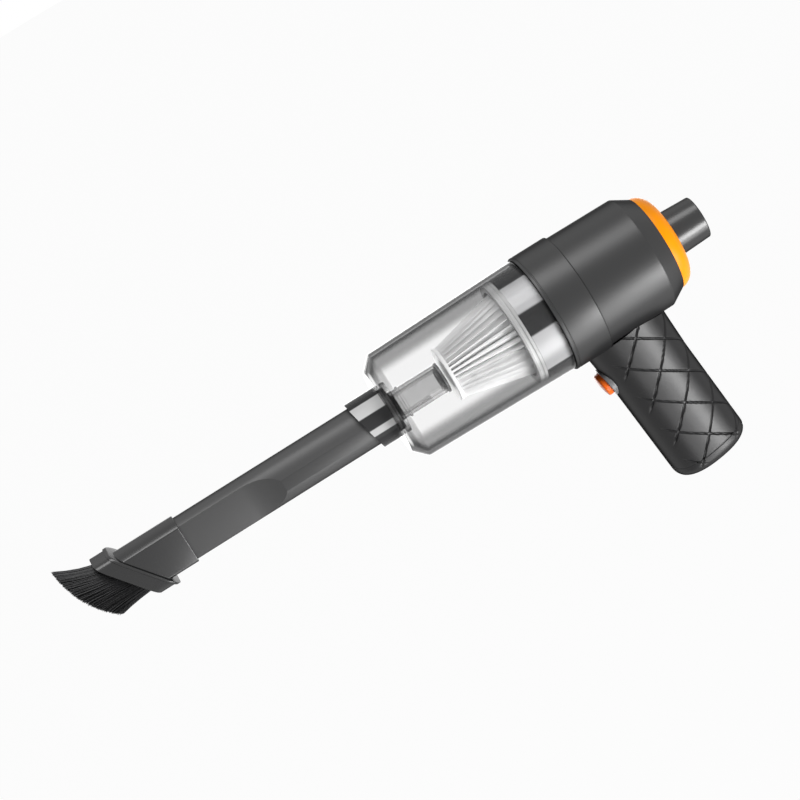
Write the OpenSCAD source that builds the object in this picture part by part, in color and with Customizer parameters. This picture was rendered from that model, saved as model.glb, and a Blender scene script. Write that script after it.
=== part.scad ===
/* [Barrel] */
// Diameter of the barrel just behind the lock collar
barrel_d = 66; // [60:0.5:74]
// How much narrower the barrel is at its rear edge, before the chamfer
barrel_taper = 0.8; // [0:0.1:2]
// Length of the barrel from the collar to the rear chamfer
barrel_len = 40; // [36:1:60]
// Wall of the barrel shell
barrel_wall = 2.4; // [1.6:0.1:3]
// Length of the rear chamfer along the axis
chamfer_len = 9.1; // [6:0.1:12]
// Thickness of the barrel's rear wall
rear_wall = 2.5; // [1.5:0.1:4]

/* [Lock collar] */
// Height of the lock collar above the barrel
collar_step = 1.2; // [0.7:0.1:2]
// Length of the lock collar
collar_len = 22; // [20:0.5:30]
// Depth of the lock collar's seat below the barrel's surface
collar_seat = 0.9; // [0.7:0.1:1.5]
// Length of the barrel neck inside the collar
neck_len = 11.4; // [9:0.2:12]

/* [Blower outlet] */
// Length of the blower tube behind the trim ring
outlet_len = 19.4; // [12:0.5:40]
// Outside diameter of the blower tube at its mouth
outlet_mouth_d = 24.2; // [23:0.2:28]
// Outside diameter of the blower tube at its root
outlet_root_d = 25.8; // [24:0.2:30]
// Bore of the blower tube
outlet_bore_d = 20.4; // [16:0.2:21]

/* [Trim ring] */
// Diameter of the trim ring where it meets the barrel
ring_base_d = 54.6; // [48:0.2:58]
// Diameter of the trim ring's rear face
ring_face_d = 41; // [34:0.5:44]
// Height of the trim ring along the axis
ring_len = 8.1; // [5:0.1:12]

/* [Dust cup] */
// Length of the clear cup between collar and front chamfer
cup_len = 89.7; // [80:1:120]
// How much narrower the cup is at its front than the barrel
cup_taper = 3.6; // [1:0.2:5]
// Length of the cup's front chamfer
cup_chamfer = 7; // [4:0.5:10]
// Diameter of the cup's flat front
cup_face_d = 48; // [40:0.5:52]
// Wall of the cup
cup_wall = 2; // [1.4:0.1:2.4]
// Length of the nozzle socket in front of the cup
socket_len = 17.7; // [12:0.5:30]
// Slant of the socket's rim
socket_slant = 13.7; // [0:0.1:18]
// Wall of the nozzle socket
socket_wall = 2.4; // [1.6:0.1:3]
// Diameter of the inlet duct inside the cup
duct_d = 16.4; // [12:0.2:20]
// Length of the inlet duct inside the cup
duct_len = 29; // [20:0.5:29.5]

/* [Filter] */
// Gap between the filter's base band and the barrel's outer surface
filter_inset = 3; // [2.8:0.1:4]
// Length of the filter's base band
filter_band = 22; // [18:0.5:30]
// Thickness of the pale seal ring in front of the band
filter_seal_len = 4.8; // [3:0.2:6]
// Diameter of the pleated cone at its base
cone_base_d = 50.4; // [46:0.2:54]
// Diameter of the pleated cone at its nose
cone_nose_d = 30; // [24:0.5:36]
// Length of the pleated cone
cone_len = 38; // [30:0.5:42]
// Depth of the pleats
pleat_depth = 3.4; // [2:0.1:4]
// Number of pleats
pleats = 36; // [24:1:48]

/* [Crevice nozzle] */
// Diameter of the nozzle's round part
nozzle_d = 25; // [22:0.1:28]
// Thickness of the nozzle's flat part
nozzle_flat = 14; // [11:0.2:18]
// Wall of the nozzle
nozzle_wall = 1.6; // [1.2:0.1:2.2]
// Length of the nozzle's round part in front of the socket
nozzle_round_len = 48.4; // [30:0.5:80]
// Length over which the flat runs out to the round part
nozzle_scoop = 21; // [15:0.5:30]
// Length of the flat part that the sleeve leaves bare
nozzle_bare = 37.4; // [30:0.2:60]

/* [Brush head] */
// Height of the brush sleeve
sleeve_d = 27.7; // [26.9:0.1:32]
// Thickness of the brush sleeve
sleeve_flat = 18; // [17:0.2:22]
// Length of the sleeve along its middle, up to the ferrule
sleeve_len = 25.8; // [24:0.2:40]
// Slant of the ferrule and of the trimmed bristles
ferrule_slant = 35.5; // [30:0.5:45]
// Width of the ferrule along the axis
ferrule_len = 10.9; // [9:0.1:16]
// Height of the ferrule
ferrule_h = 32.4; // [31:0.2:38]
// Thickness of the ferrule
ferrule_t = 22; // [21:0.2:28]
// Free length of the middle bristles
bristle_len = 25.2; // [18:0.2:30]
// Rise of the top bristles' tips
bristle_flare = 9.5; // [4:0.5:12]
// Drop of the bottom bristles' tips
bristle_droop = 3.6; // [0:0.2:5]

/* [Handle] */
// Distance of the handle's axis behind the lock collar, on the barrel's axis
handle_back = 7.4; // [6:0.1:9]
// Rearward lean of the handle
handle_lean = 7.7; // [4:0.1:10]
// Length of the handle from the barrel's axis to its end
handle_len = 123; // [119:0.5:126]
// Depth of the handle, front to back, at its middle
handle_a = 45.8; // [43.6:0.2:48]
// Width of the handle, side to side, at its middle
handle_b = 36.4; // [34.8:0.2:40]
// Wall of the grip halves
grip_wall = 2.2; // [1.8:0.1:2.4]
// Length of the grip end cap
end_cap_len = 9; // [8.4:0.2:10]
// Width of the grip's diamond grooves
groove_w = 1.1; // [0.8:0.1:1.6]
// Pitch of the grooves' crossings down the handle
groove_pitch = 23.8; // [16:0.2:30]
// Half width of a diamond around the handle
diamond_half = 12.7; // [9:0.1:16]
// How far the grooves' crossings move to the rear per millimetre down the handle
groove_drift = 0.022; // [0:0.001:0.04]

/* [Power button] */
// Distance of the button down the handle
button_h = 50; // [49:0.5:53]
// Diameter of the button
button_d = 14; // [12:0.5:15]
// Height of the button's face above the bezel's seat
button_proud = 3.8; // [3:0.1:5]
// Travel of the button
button_travel = 1.8; // [1:0.1:2]

/* [Motor] */
// Diameter of the motor can
motor_d = 32; // [28:0.5:34]
// Length of the motor can
motor_len = 24; // [20:0.5:26]
// Diameter of the motor shaft
shaft_d = 3.2; // [2.4:0.1:4]
// Clearance between the impeller's blades and the fan housing
impeller_gap = 3.4; // [1:0.1:6]
// Number of impeller blades
blades = 9; // [5:1:12]

/* [Battery] */
// Diameter of a cell
cell_d = 18.2; // [16:0.1:18.4]
// Distance of the cells' lower ends above the grip's end cap
cell_lift = 4.5; // [2.5:0.1:8]

/* [Hidden] */
$fn = 64;

// Clearances
fit = 0.1;        // round fit between pieces that push together
slip = 0.2;       // radial clearance between pieces of one body
apart = 0.3;      // clearance between pieces that move past each other
over = 1;         // how far a cutter runs past the face it cuts

// Stations along the tool's axis, counted forward from the blower mouth
ring_s = outlet_len;
barrel_s = ring_s + ring_len;
rear_edge_s = barrel_s + chamfer_len;
collar_s = rear_edge_s + barrel_len;
neck_s = collar_s + neck_len;
collar_front_s = collar_s + collar_len;
cup_s = collar_front_s + apart;
cup_edge_s = cup_s + cup_len;
cup_face_s = cup_edge_s + cup_chamfer;
socket_s = cup_face_s + socket_len;
rear_inner_s = barrel_s + rear_wall;
handle_s = collar_s - handle_back;

// Sizes that follow the barrel's diameter
barrel_rear_d = barrel_d - barrel_taper;
collar_d = barrel_d + 2 * collar_step;
collar_bore_d = barrel_d - 2 * collar_seat;
cup_front_d = barrel_d - cup_taper;
filter_d = barrel_d - 2 * filter_inset;
neck_r = collar_bore_d / 2 - fit;
barrel_inner_r = barrel_rear_d / 2 - barrel_wall;
neck_inner_r = neck_r - barrel_wall;
edge_round = 0.6;

// Driveline stations, behind the inlet plate
plate_plug = 4;
plate_flange = 2;
plate_s = neck_s - plate_plug;
plate_front_s = neck_s + plate_flange;
fan_wall = 2;
fan_front_s = plate_s - fan_wall;
fan_gap = 1.5;
impeller_h = 10;
impeller_s = fan_front_s - fan_gap - impeller_h;
diffuser_t = 2;
motor_front_s = impeller_s - fan_gap - diffuser_t;
motor_rear_s = motor_front_s - motor_len;
motor_cap_len = 3;
eye_r = 11;
fan_housing_r = neck_inner_r - slip;
impeller_r = fan_housing_r - fan_wall - impeller_gap;
can_wall = 1.5;
bearing_r = 4.5;
bearing_len = 3;
armature_gap = 2.5;

// Spigot that carries the filter
spigot_r = neck_inner_r - 5.6;
spigot_len = 16;

// Filter stations
band_rear_s = plate_front_s + apart + 1.7;
band_front_s = band_rear_s + filter_band;
seal_front_s = band_front_s + filter_seal_len;
cone_front_s = seal_front_s + cone_len;
band_wall = 1.6;
rib_t = 1.6;
cage_base_r = cone_base_d / 2 - pleat_depth - 1.4;

// Cup radii
cup_lip_r = collar_bore_d / 2 - apart;
cup_lip_wall = 1.1;
cup_lip_len = 8;
socket_bore_r = nozzle_d / 2 + fit;
socket_r = socket_bore_r + socket_wall;
socket_floor_s = cup_face_s - 4.2;
socket_floor = 2;
duct_s = socket_floor_s - socket_floor - duct_len + 2;
duct_wall = 1.6;

// Nozzle stations
nozzle_rear_s = socket_floor_s + apart;
scoop_end_s = socket_s + nozzle_round_len;
scoop_s = scoop_end_s + nozzle_scoop;
sleeve_s = scoop_s + nozzle_bare;
ferrule_s = sleeve_s + sleeve_len;
ferrule_front_s = ferrule_s + ferrule_len;
slant_rise = tan(ferrule_slant);
tool_height = 60;   // taller than any section of the nozzle or brush

// Brush head: the ferrule's open front holds a strip, and the strip holds the tufts
ferrule_corner = 6;
ferrule_wall = 1.5;
pocket_depth = 6;
seat_t = 1.8;       // what the nozzle's tip seats against, behind the pocket
nozzle_tip_s = ferrule_front_s - pocket_depth - seat_t - apart;
strip_t = 2;
strip_s = ferrule_front_s - pocket_depth + slip;
tuft_band = 3.5;
tuft_outer_h = ferrule_h - 4.4;
tuft_outer_t = ferrule_t - 4;
tuft_inner_h = tuft_outer_h - 2 * tuft_band;
tuft_inner_t = tuft_outer_t - 2 * tuft_band;
tuft_root_s = strip_s + strip_t + slip;

// Handle, in its own frame: Z along the handle, X to the rear
handle_top = barrel_d / 2 - 5;
handle_n = 2.3;     // exponent of the handle's oval
handle_steps = 44;
grip_end = handle_len - end_cap_len;
handle_levels = [
    [handle_top, handle_a / 2 + 1.4, handle_b / 2 + 0.6],
    [45, handle_a / 2 + 0.6, handle_b / 2 + 0.3],
    [61, handle_a / 2, handle_b / 2],
    [grip_end, handle_a / 2, handle_b / 2 - 0.2]
];
deck_h = barrel_d / 2 + 1.3;
deck_t = 1.8;
neck_x = 3;         // the neck sits behind the collar, off the handle's axis
neck_a = 12;
neck_b = 11;
neck_wall = 1.8;
neck_top = deck_h - 3.7;
neck_steps = 28;
neck_hole_top = 20;

// Screws of the grip halves: place across and down the handle
screw_places = [[12, deck_h + 5.2], [-13, deck_h + 5.2], [14, deck_h + 19.2]];
screw_r = 1.3;
screw_hole_r = 1.5;
screw_head_r = 2.4;
screw_head_len = 1.8;
screw_boss_r = 3.2;
screw_reach = 9;
screw_seat = 8;

// Button stack, in the button's frame: X points into the handle
button_extra_tilt = 4;
bezel_r = button_d / 2 + 2;
bezel_depth = 4;
bezel_proud = 0.7;
button_flange_r = button_d / 2 + 1;
button_flange_t = 1.2;
stem_r = 2.2;
stem_len = 2.8;
plunger_r = 1.8;
plunger_len = 4;
switch_size = 12;
switch_depth = 5;
switch_gap = button_travel + apart;
board_t = 1.6;
board_w = 24;
button_back = bezel_depth + apart + button_flange_t;
stem_end = button_back + stem_len;
switch_x = stem_end + switch_gap;
board_x = switch_x + switch_depth;

// Battery stack, down the handle
cell_gap = 0.4;
link_t = 0.2;
plate_t = 1.2;
cell_top = 60;
cell_len = grip_end - cell_lift - cell_top;
cell_x = cell_d / 2 + cell_gap / 2;
cell_bottom = cell_top + cell_len;

// Charge port, in the end cap
port_w = 9;
port_t = 3.2;
port_len = 7.4;
charge_board_t = 1;
charge_board_w = 14;
charge_board_len = 17.4;
charge_board_h = grip_end + 0.9;
port_h = charge_board_h + charge_board_t + port_t / 2;
cap_round = 6;

// ---------------------------------------------------------------- frames

// Z runs forward along the tool's axis from the blower mouth, X points up
module on_axis() rotate([0, -90, 0]) children();

// Z runs up along the handle's axis, X points to the rear
module in_handle() translate([-handle_s, 0, 0]) rotate([0, -handle_lean, 0]) children();

// X points into the handle along the button's travel
module in_button() {
    in_handle() translate([-oval_a(button_h), 0, -button_h])
        rotate([0, -button_extra_tilt, 0]) children();
}

// ---------------------------------------------------------------- outlines

function arc(cx, cy, r, from, to, n) =
    [for (i = [0:n]) let (t = from + (to - from) * i / n) [cx + r * cos(t), cy + r * sin(t)]];

function rounded_box(w, h, r, n = 6) = concat(
    arc(w / 2 - r, h / 2 - r, r, 0, 90, n),
    arc(r - w / 2, h / 2 - r, r, 90, 180, n),
    arc(r - w / 2, r - h / 2, r, 180, 270, n),
    arc(w / 2 - r, r - h / 2, r, 270, 360, n));

function signed_power(v, p) = sign(v) * pow(abs(v), p);

function oval_point(a, b, t) =
    [a * signed_power(cos(t), 2 / handle_n), b * signed_power(sin(t), 2 / handle_n)];

function oval(a, b, n = handle_steps) = [for (i = [0:n - 1]) oval_point(a, b, 360 * i / n)];

function oval_a(h) = lookup(h, [for (l = handle_levels) [l[0], l[1]]]);
function oval_b(h) = lookup(h, [for (l = handle_levels) [l[0], l[2]]]);

module ring(r_out, r_in, len) {
    difference() {
        cylinder(r = r_out, h = len);
        translate([0, 0, -over]) cylinder(r = r_in, h = len + 2 * over);
    }
}

// ---------------------------------------------------------------- barrel

module barrel_shell() {
    outer_r = barrel_d / 2;
    rear_r = barrel_rear_d / 2;
    base_r = ring_base_d / 2;
    hole_r = outlet_root_d / 2 + slip;
    color("dimgray") difference() {
        on_axis() rotate_extrude() polygon([
            [hole_r, barrel_s], [base_r, barrel_s], [rear_r, rear_edge_s],
            [outer_r, collar_s], [neck_r, collar_s], [neck_r, neck_s],
            [neck_inner_r, neck_s], [neck_inner_r, collar_s + 2],
            [barrel_inner_r, collar_s + 1], [barrel_inner_r, rear_edge_s + 1],
            [base_r - 1.6, rear_inner_s], [hole_r, rear_inner_s]
        ]);
        in_handle() translate([neck_x, 0, -deck_h - deck_t]) linear_extrude(deck_h + deck_t - neck_hole_top)
            polygon(oval(neck_a + slip, neck_b + slip, neck_steps));
    }
}

module lock_collar() {
    r = collar_d / 2;
    bore = collar_bore_d / 2;
    color("dimgray") on_axis() rotate_extrude() polygon([
        [bore, collar_s], [r - edge_round, collar_s], [r, collar_s + edge_round],
        [r, collar_front_s - edge_round], [r - edge_round, collar_front_s],
        [bore, collar_front_s]
    ]);
}

module trim_ring() {
    base_r = ring_base_d / 2;
    face_r = ring_face_d / 2;
    bore = outlet_root_d / 2 + slip;
    wall = 2;
    bulge_share = 0.6;
    bulge = [for (t = [0:15:90])
        [face_r + (base_r - face_r) * sin(t),
         ring_s + ring_len * (bulge_share * (1 - cos(t)) + (1 - bulge_share) * t / 90)]];
    color("darkorange") on_axis() rotate_extrude() polygon(concat(
        [[bore, ring_s]], bulge,
        [[base_r - wall, barrel_s], [face_r - wall, ring_s + wall],
         [bore + wall, ring_s + wall], [bore + wall, barrel_s], [bore, barrel_s]]));
}

module outlet_tube() {
    flange_r = outlet_root_d / 2 + 4;
    flange_t = 2;
    color("gray") on_axis() rotate_extrude() polygon([
        [outlet_bore_d / 2, 0], [outlet_mouth_d / 2 - edge_round, 0],
        [outlet_mouth_d / 2, edge_round], [outlet_root_d / 2, ring_s],
        [outlet_root_d / 2, rear_inner_s], [flange_r, rear_inner_s],
        [flange_r, rear_inner_s + flange_t], [outlet_bore_d / 2, rear_inner_s + flange_t]
    ]);
}

// ---------------------------------------------------------------- fan and motor

module inlet_plate() {
    slots = 12;
    slot_w = 3.4;
    hub_r = 5;
    color("dimgray") on_axis() difference() {
        rotate_extrude() polygon([
            [0, neck_s], [neck_inner_r - slip, neck_s - plate_plug],
            [neck_inner_r - slip, neck_s], [neck_inner_r + 1, neck_s],
            [neck_inner_r + 1, plate_front_s], [spigot_r, plate_front_s],
            [spigot_r, plate_front_s + spigot_len], [spigot_r - 2, plate_front_s + spigot_len],
            [spigot_r - 2, plate_front_s], [0, plate_front_s]
        ]);
        for (i = [0:slots - 1]) rotate(360 * i / slots)
            translate([hub_r + 3, -slot_w / 2, neck_s - plate_plug - over])
                cube([spigot_r - hub_r - 7, slot_w, plate_plug + plate_flange + 2 * over]);
    }
}

module fan_housing() {
    color("darkgray") on_axis() rotate_extrude() polygon([
        [eye_r, fan_front_s], [fan_housing_r - fan_wall, fan_front_s],
        [fan_housing_r - fan_wall, motor_front_s], [fan_housing_r, motor_front_s],
        [fan_housing_r, plate_s], [eye_r, plate_s]
    ]);
}

module diffuser_plate() {
    vanes = 10;
    rim_r = fan_housing_r - fan_wall - slip;
    color("darkgray") on_axis() difference() {
        translate([0, 0, motor_front_s]) ring(rim_r, bearing_r + 1, diffuser_t);
        for (i = [0:vanes - 1]) rotate(360 * i / vanes)
            translate([impeller_r - 4, -3, motor_front_s - over])
                cube([rim_r - impeller_r + 2, 6, diffuser_t + 2 * over]);
    }
}

// One backward-curved blade, as the lens between two arcs
module blade() {
    root_r = 8;
    tip_r = impeller_r - 0.5;
    span = tip_r - root_r;
    sag = 3;
    thick = 1.3;
    upper = [for (i = [0:6]) [root_r + span * i / 6, sag * sin(180 * i / 6) * 0.5 - 9 * pow(i / 6, 2)]];
    lower = [for (i = [6:-1:0]) upper[i] - [0, thick]];
    polygon(concat(upper, lower));
}

module impeller() {
    hub_r = 5;
    back_t = 1.4;
    color("lightgray") on_axis() translate([0, 0, impeller_s]) difference() {
        union() {
            cylinder(r = impeller_r - 0.4, h = back_t);
            cylinder(r = hub_r, h = impeller_h);
            for (i = [0:blades - 1]) rotate(360 * i / blades)
                translate([0, 0, back_t - 0.2]) linear_extrude(impeller_h - back_t) blade();
        }
        translate([0, 0, -over]) cylinder(r = shaft_d / 2, h = impeller_h + 2 * over);
        difference() {
            translate([0, 0, -over]) cylinder(r = 2 * impeller_r, h = impeller_h + 2 * over);
            translate([0, 0, -2 * over]) cylinder(r = impeller_r, h = impeller_h + 4 * over);
        }
    }
}

module motor_shaft() {
    tail = 1.5;
    color("silver") on_axis() translate([0, 0, motor_rear_s - motor_cap_len + tail])
        cylinder(r = shaft_d / 2, h = impeller_s + impeller_h - motor_rear_s + motor_cap_len - tail);
}

module armature() {
    poles = 5;
    r = motor_d / 2 - can_wall - 1;
    length = motor_len - can_wall - bearing_len - 2 * armature_gap - 1;
    color("sienna") on_axis() translate([0, 0, motor_rear_s + armature_gap + 1]) difference() {
        cylinder(r = r, h = length);
        for (i = [0:poles - 1]) rotate(360 * i / poles)
            translate([r - 5, -1.2, -over]) cube([6, 2.4, length + 2 * over]);
        translate([0, 0, -over]) cylinder(r = shaft_d / 2, h = length + 2 * over);
    }
}

module motor_can() {
    color("silver") on_axis() rotate_extrude() polygon([
        [motor_d / 2 - can_wall, motor_rear_s], [motor_d / 2, motor_rear_s],
        [motor_d / 2, motor_front_s], [bearing_r + slip, motor_front_s],
        [bearing_r + slip, motor_front_s - can_wall], [motor_d / 2 - can_wall, motor_front_s - can_wall]
    ]);
}

module motor_end_cap() {
    cap_s = motor_rear_s - motor_cap_len;
    color("black") on_axis() union() {
        rotate_extrude() polygon([
            [bearing_r + slip, cap_s], [motor_d / 2 - 1, cap_s], [motor_d / 2, cap_s + 1],
            [motor_d / 2, motor_rear_s], [bearing_r + slip, motor_rear_s]
        ]);
        for (side = [-1, 1]) translate([-0.4, side * 9 - 1.5, cap_s - 3]) cube([0.8, 3, 4]);
    }
}

module bearing(at) {
    color("goldenrod") on_axis() translate([0, 0, at]) ring(bearing_r, shaft_d / 2 + 0.03, bearing_len);
}

module front_bearing() bearing(motor_front_s - bearing_len + 1);

module rear_bearing() bearing(motor_rear_s - motor_cap_len + 0.3);

module motor_mount() {
    mount_len = 9;
    mount_s = motor_rear_s + 4;
    inner = motor_d / 2 + slip;
    arms = 4;
    arm_w = 7;
    arm_r = barrel_inner_r - slip;
    color("black") on_axis() translate([0, 0, mount_s]) difference() {
        union() {
            cylinder(r = inner + 3, h = mount_len);
            intersection() {
                cylinder(r = arm_r, h = mount_len);
                for (i = [0:arms / 2 - 1]) rotate(45 + 180 * i / (arms / 2))
                    translate([-arm_r - over, -arm_w / 2, 0])
                        cube([2 * arm_r + 2 * over, arm_w, mount_len]);
            }
        }
        translate([0, 0, -over]) cylinder(r = inner, h = mount_len + 2 * over);
    }
}

// ---------------------------------------------------------------- filter

module filter_frame() {
    r = filter_d / 2;
    inner = spigot_r + fit;
    flange_s = band_front_s - band_wall;
    color("gainsboro") on_axis() rotate_extrude() polygon([
        [r - band_wall, band_rear_s], [r, band_rear_s], [r, band_front_s],
        [cage_base_r - rib_t, band_front_s], [cage_base_r - rib_t, flange_s],
        [inner, flange_s], [inner, band_rear_s],
        [inner + band_wall, band_rear_s], [inner + band_wall, flange_s],
        [r - band_wall, flange_s]
    ]);
}

module filter_seal() {
    color("whitesmoke") on_axis() translate([0, 0, band_front_s])
        ring(filter_d / 2 + 0.1, cone_base_d / 2 + 0.6, filter_seal_len);
}

module filter_cage() {
    ribs = 6;
    nose_r = cone_nose_d / 2 - pleat_depth - 1.2;
    foot = 2;
    color("gainsboro") on_axis() union() {
        translate([0, 0, band_front_s]) ring(cage_base_r, cage_base_r - rib_t, foot);
        translate([0, 0, cone_front_s - foot]) ring(nose_r, nose_r - rib_t, foot);
        for (i = [0:ribs - 1]) rotate(360 * i / ribs) rotate([90, 0, 0])
            translate([0, 0, -rib_t / 2]) linear_extrude(rib_t) polygon([
                [cage_base_r - rib_t + 0.1, band_front_s + 0.2], [cage_base_r - 0.1, band_front_s + 0.2],
                [nose_r - 0.1, cone_front_s - 0.2], [nose_r - rib_t + 0.1, cone_front_s - 0.2]
            ]);
    }
}

// Pleated cone wall: a zigzag ring at the base and at the nose
function pleat_ring(r, s, side) = [for (i = [0:2 * pleats - 1])
    let (t = 180 * i / pleats, q = r - (i % 2 == 0 ? 0 : pleat_depth) - side * 0.5)
    [q * cos(t), q * sin(t), s]];

module filter_media() {
    n = 2 * pleats;
    points = concat(
        pleat_ring(cone_base_d / 2, band_front_s, 0), pleat_ring(cone_nose_d / 2, cone_front_s, 0),
        pleat_ring(cone_base_d / 2, band_front_s, 1), pleat_ring(cone_nose_d / 2, cone_front_s, 1));
    faces = [for (i = [0:n - 1]) let (j = (i + 1) % n) each [
        [i, n + i, j], [j, n + i, n + j],
        [2 * n + i, 2 * n + j, 3 * n + i], [2 * n + j, 3 * n + j, 3 * n + i],
        [i, j, 2 * n + i], [j, 2 * n + j, 2 * n + i],
        [n + i, 3 * n + i, n + j], [n + j, 3 * n + i, 3 * n + j]
    ]];
    color("white") on_axis() polyhedron(points, faces);
}

module filter_nose() {
    nose_t = 2.2;
    r = cone_nose_d / 2 + 0.6;
    color("gainsboro") on_axis() rotate_extrude() polygon([
        [0, cone_front_s], [r, cone_front_s], [r, cone_front_s + nose_t - 0.8],
        [r - 0.8, cone_front_s + nose_t], [0, cone_front_s + nose_t]
    ]);
}

// ---------------------------------------------------------------- dust cup

module dust_cup() {
    rear_r = barrel_d / 2;
    front_r = cup_front_d / 2;
    face_r = cup_face_d / 2;
    lip_s = cup_s - cup_lip_len;
    lip_inner = cup_lip_r - cup_lip_wall;
    front_wall = 2.2;
    duct_hole = duct_d / 2 + slip;
    color([0.85, 0.87, 0.9, 0.4]) on_axis() difference() {
        rotate_extrude() polygon([
            [lip_inner, lip_s], [cup_lip_r, lip_s], [cup_lip_r, cup_s], [rear_r, cup_s],
            [front_r, cup_edge_s], [face_r, cup_face_s], [socket_r, cup_face_s],
            [socket_r, socket_s], [socket_bore_r, socket_s], [socket_bore_r, socket_floor_s],
            [duct_hole, socket_floor_s], [duct_hole, socket_floor_s - socket_floor],
            [socket_r, socket_floor_s - socket_floor], [socket_r, cup_face_s - front_wall],
            [face_r - 1, cup_face_s - front_wall], [front_r - cup_wall, cup_edge_s - 0.4],
            [rear_r - cup_wall, cup_s + 1.2], [lip_inner, cup_s]
        ]);
        translate([socket_r, 0, socket_s]) rotate([0, -socket_slant, 0])
            translate([-tool_height, -tool_height / 2, 0])
                cube([tool_height * 1.2, tool_height, tool_height / 2]);
    }
}

module cup_seal() {
    seal_t = 1.2;
    color("darkgray") on_axis() translate([0, 0, cup_s - cup_lip_len - seal_t])
        ring(cup_lip_r - slip, neck_inner_r + 1 + apart, seal_t);
}

module inlet_duct() {
    r = duct_d / 2;
    inner = r - duct_wall;
    duct_front_s = duct_s + duct_len;
    bead_s = duct_front_s - 5;
    bead = 0.9;
    color("gray") on_axis() difference() {
        rotate_extrude() polygon([
            [inner, duct_s], [r, duct_s], [r, bead_s - 2], [r + bead, bead_s - 1.5],
            [r + bead, bead_s - 0.5], [r, bead_s], [r, duct_front_s], [inner, duct_front_s]
        ]);
        translate([-r - over, -4.5, duct_s + 2]) cube([4, 9, 7]);
    }
}

// Cap on the duct's rear end: it turns the dust out through the duct's window
module duct_cap() {
    cap_t = 1.6;
    rim = 1.6;
    color("dimgray") on_axis() rotate_extrude() polygon([
        [0, duct_s - cap_t], [duct_d / 2 + 0.6, duct_s - cap_t], [duct_d / 2 + 0.6, duct_s],
        [duct_d / 2 - duct_wall - slip, duct_s], [duct_d / 2 - duct_wall - slip, duct_s + rim],
        [duct_d / 2 - duct_wall - 1.2, duct_s + rim], [duct_d / 2 - duct_wall - 1.2, duct_s],
        [0, duct_s]
    ]);
}

// ---------------------------------------------------------------- nozzle and brush

// Round bar whose two sides are cut flat in front and run out in a curve
module flattened_bar(r, half_flat, curve_r, from_s, to_s) {
    difference() {
        translate([0, 0, from_s]) cylinder(r = r, h = to_s - from_s);
        for (side = [-1, 1]) {
            translate([-tool_height / 2, side > 0 ? half_flat : -half_flat - tool_height, scoop_s])
                cube([tool_height, tool_height, to_s]);
            translate([-tool_height / 2, side * (half_flat + curve_r), scoop_s]) rotate([0, 90, 0])
                cylinder(r = curve_r, h = tool_height, $fn = 128);
        }
    }
}

// Half space in front of a slanted plane that crosses the axis at a station
module beyond_slant(at_s) {
    translate([0, 0, at_s]) rotate([0, -ferrule_slant, 0])
        translate([-tool_height, -tool_height / 2, 0]) cube([2 * tool_height, tool_height, 2 * tool_height]);
}

module crevice_nozzle() {
    r = nozzle_d / 2;
    half_flat = nozzle_flat / 2;
    drop = r - half_flat;
    curve_r = (nozzle_scoop * nozzle_scoop + drop * drop) / (2 * drop);
    reach_s = nozzle_tip_s + r * slant_rise + over;
    color("dimgray") on_axis() difference() {
        flattened_bar(r, half_flat, curve_r, nozzle_rear_s, reach_s);
        flattened_bar(r - nozzle_wall, half_flat - nozzle_wall, curve_r + nozzle_wall,
            nozzle_rear_s - over, reach_s + over);
        beyond_slant(nozzle_tip_s);
    }
}

module sleeve_section(r, half_flat) {
    intersection() {
        circle(r = r);
        square([3 * r, 2 * half_flat], center = true);
    }
}

module brush_sleeve() {
    r = sleeve_d / 2;
    half_flat = sleeve_flat / 2;
    bore_r = nozzle_d / 2 + fit;
    bore_flat = nozzle_flat / 2 + fit;
    rim = 1.6;
    rim_len = 2;
    ledge = 0.9;
    front_s = ferrule_front_s + ferrule_h / 2 * slant_rise + over;
    color("dimgray") on_axis() difference() {
        union() {
            translate([0, 0, sleeve_s]) linear_extrude(ferrule_s - sleeve_s + ferrule_h * slant_rise / 2)
                sleeve_section(r, half_flat);
            difference() {
                translate([0, 0, ferrule_s - ferrule_h]) linear_extrude(front_s - ferrule_s + ferrule_h)
                    polygon(rounded_box(ferrule_h, ferrule_t, ferrule_corner));
                mirror([0, 0, 1]) mirror([1, 0, 0]) beyond_slant(-ferrule_s);
            }
            intersection() {
                translate([0, 0, ferrule_s - ferrule_h]) linear_extrude(2 * ferrule_h)
                    polygon(rounded_box(ferrule_h + rim, ferrule_t + rim, ferrule_corner + rim / 2));
                difference() {
                    beyond_slant(ferrule_s);
                    beyond_slant(ferrule_s + rim_len);
                }
            }
        }
        beyond_slant(ferrule_front_s);
        translate([0, 0, sleeve_s - over]) linear_extrude(front_s - sleeve_s + over)
            sleeve_section(bore_r - ledge, bore_flat - ledge);
        difference() {
            translate([0, 0, sleeve_s - over]) linear_extrude(front_s - sleeve_s + over)
                sleeve_section(bore_r, bore_flat);
            beyond_slant(nozzle_tip_s + apart);
        }
        intersection() {
            translate([0, 0, ferrule_s - ferrule_h]) linear_extrude(front_s - ferrule_s + ferrule_h)
                polygon(rounded_box(ferrule_h - 2 * ferrule_wall, ferrule_t - 2 * ferrule_wall,
                    ferrule_corner - ferrule_wall));
            beyond_slant(ferrule_front_s - pocket_depth);
        }
    }
}

module tuft_strip() {
    inset = 2 * (ferrule_wall + slip);
    color("black") on_axis() intersection() {
        translate([0, 0, ferrule_s - ferrule_h]) linear_extrude(3 * ferrule_h) difference() {
            polygon(rounded_box(ferrule_h - inset, ferrule_t - inset, ferrule_corner - inset / 2));
            polygon(rounded_box(tuft_inner_h, tuft_inner_t, ferrule_corner / 2));
        }
        difference() {
            beyond_slant(strip_s);
            beyond_slant(strip_s + strip_t);
        }
    }
}

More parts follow.
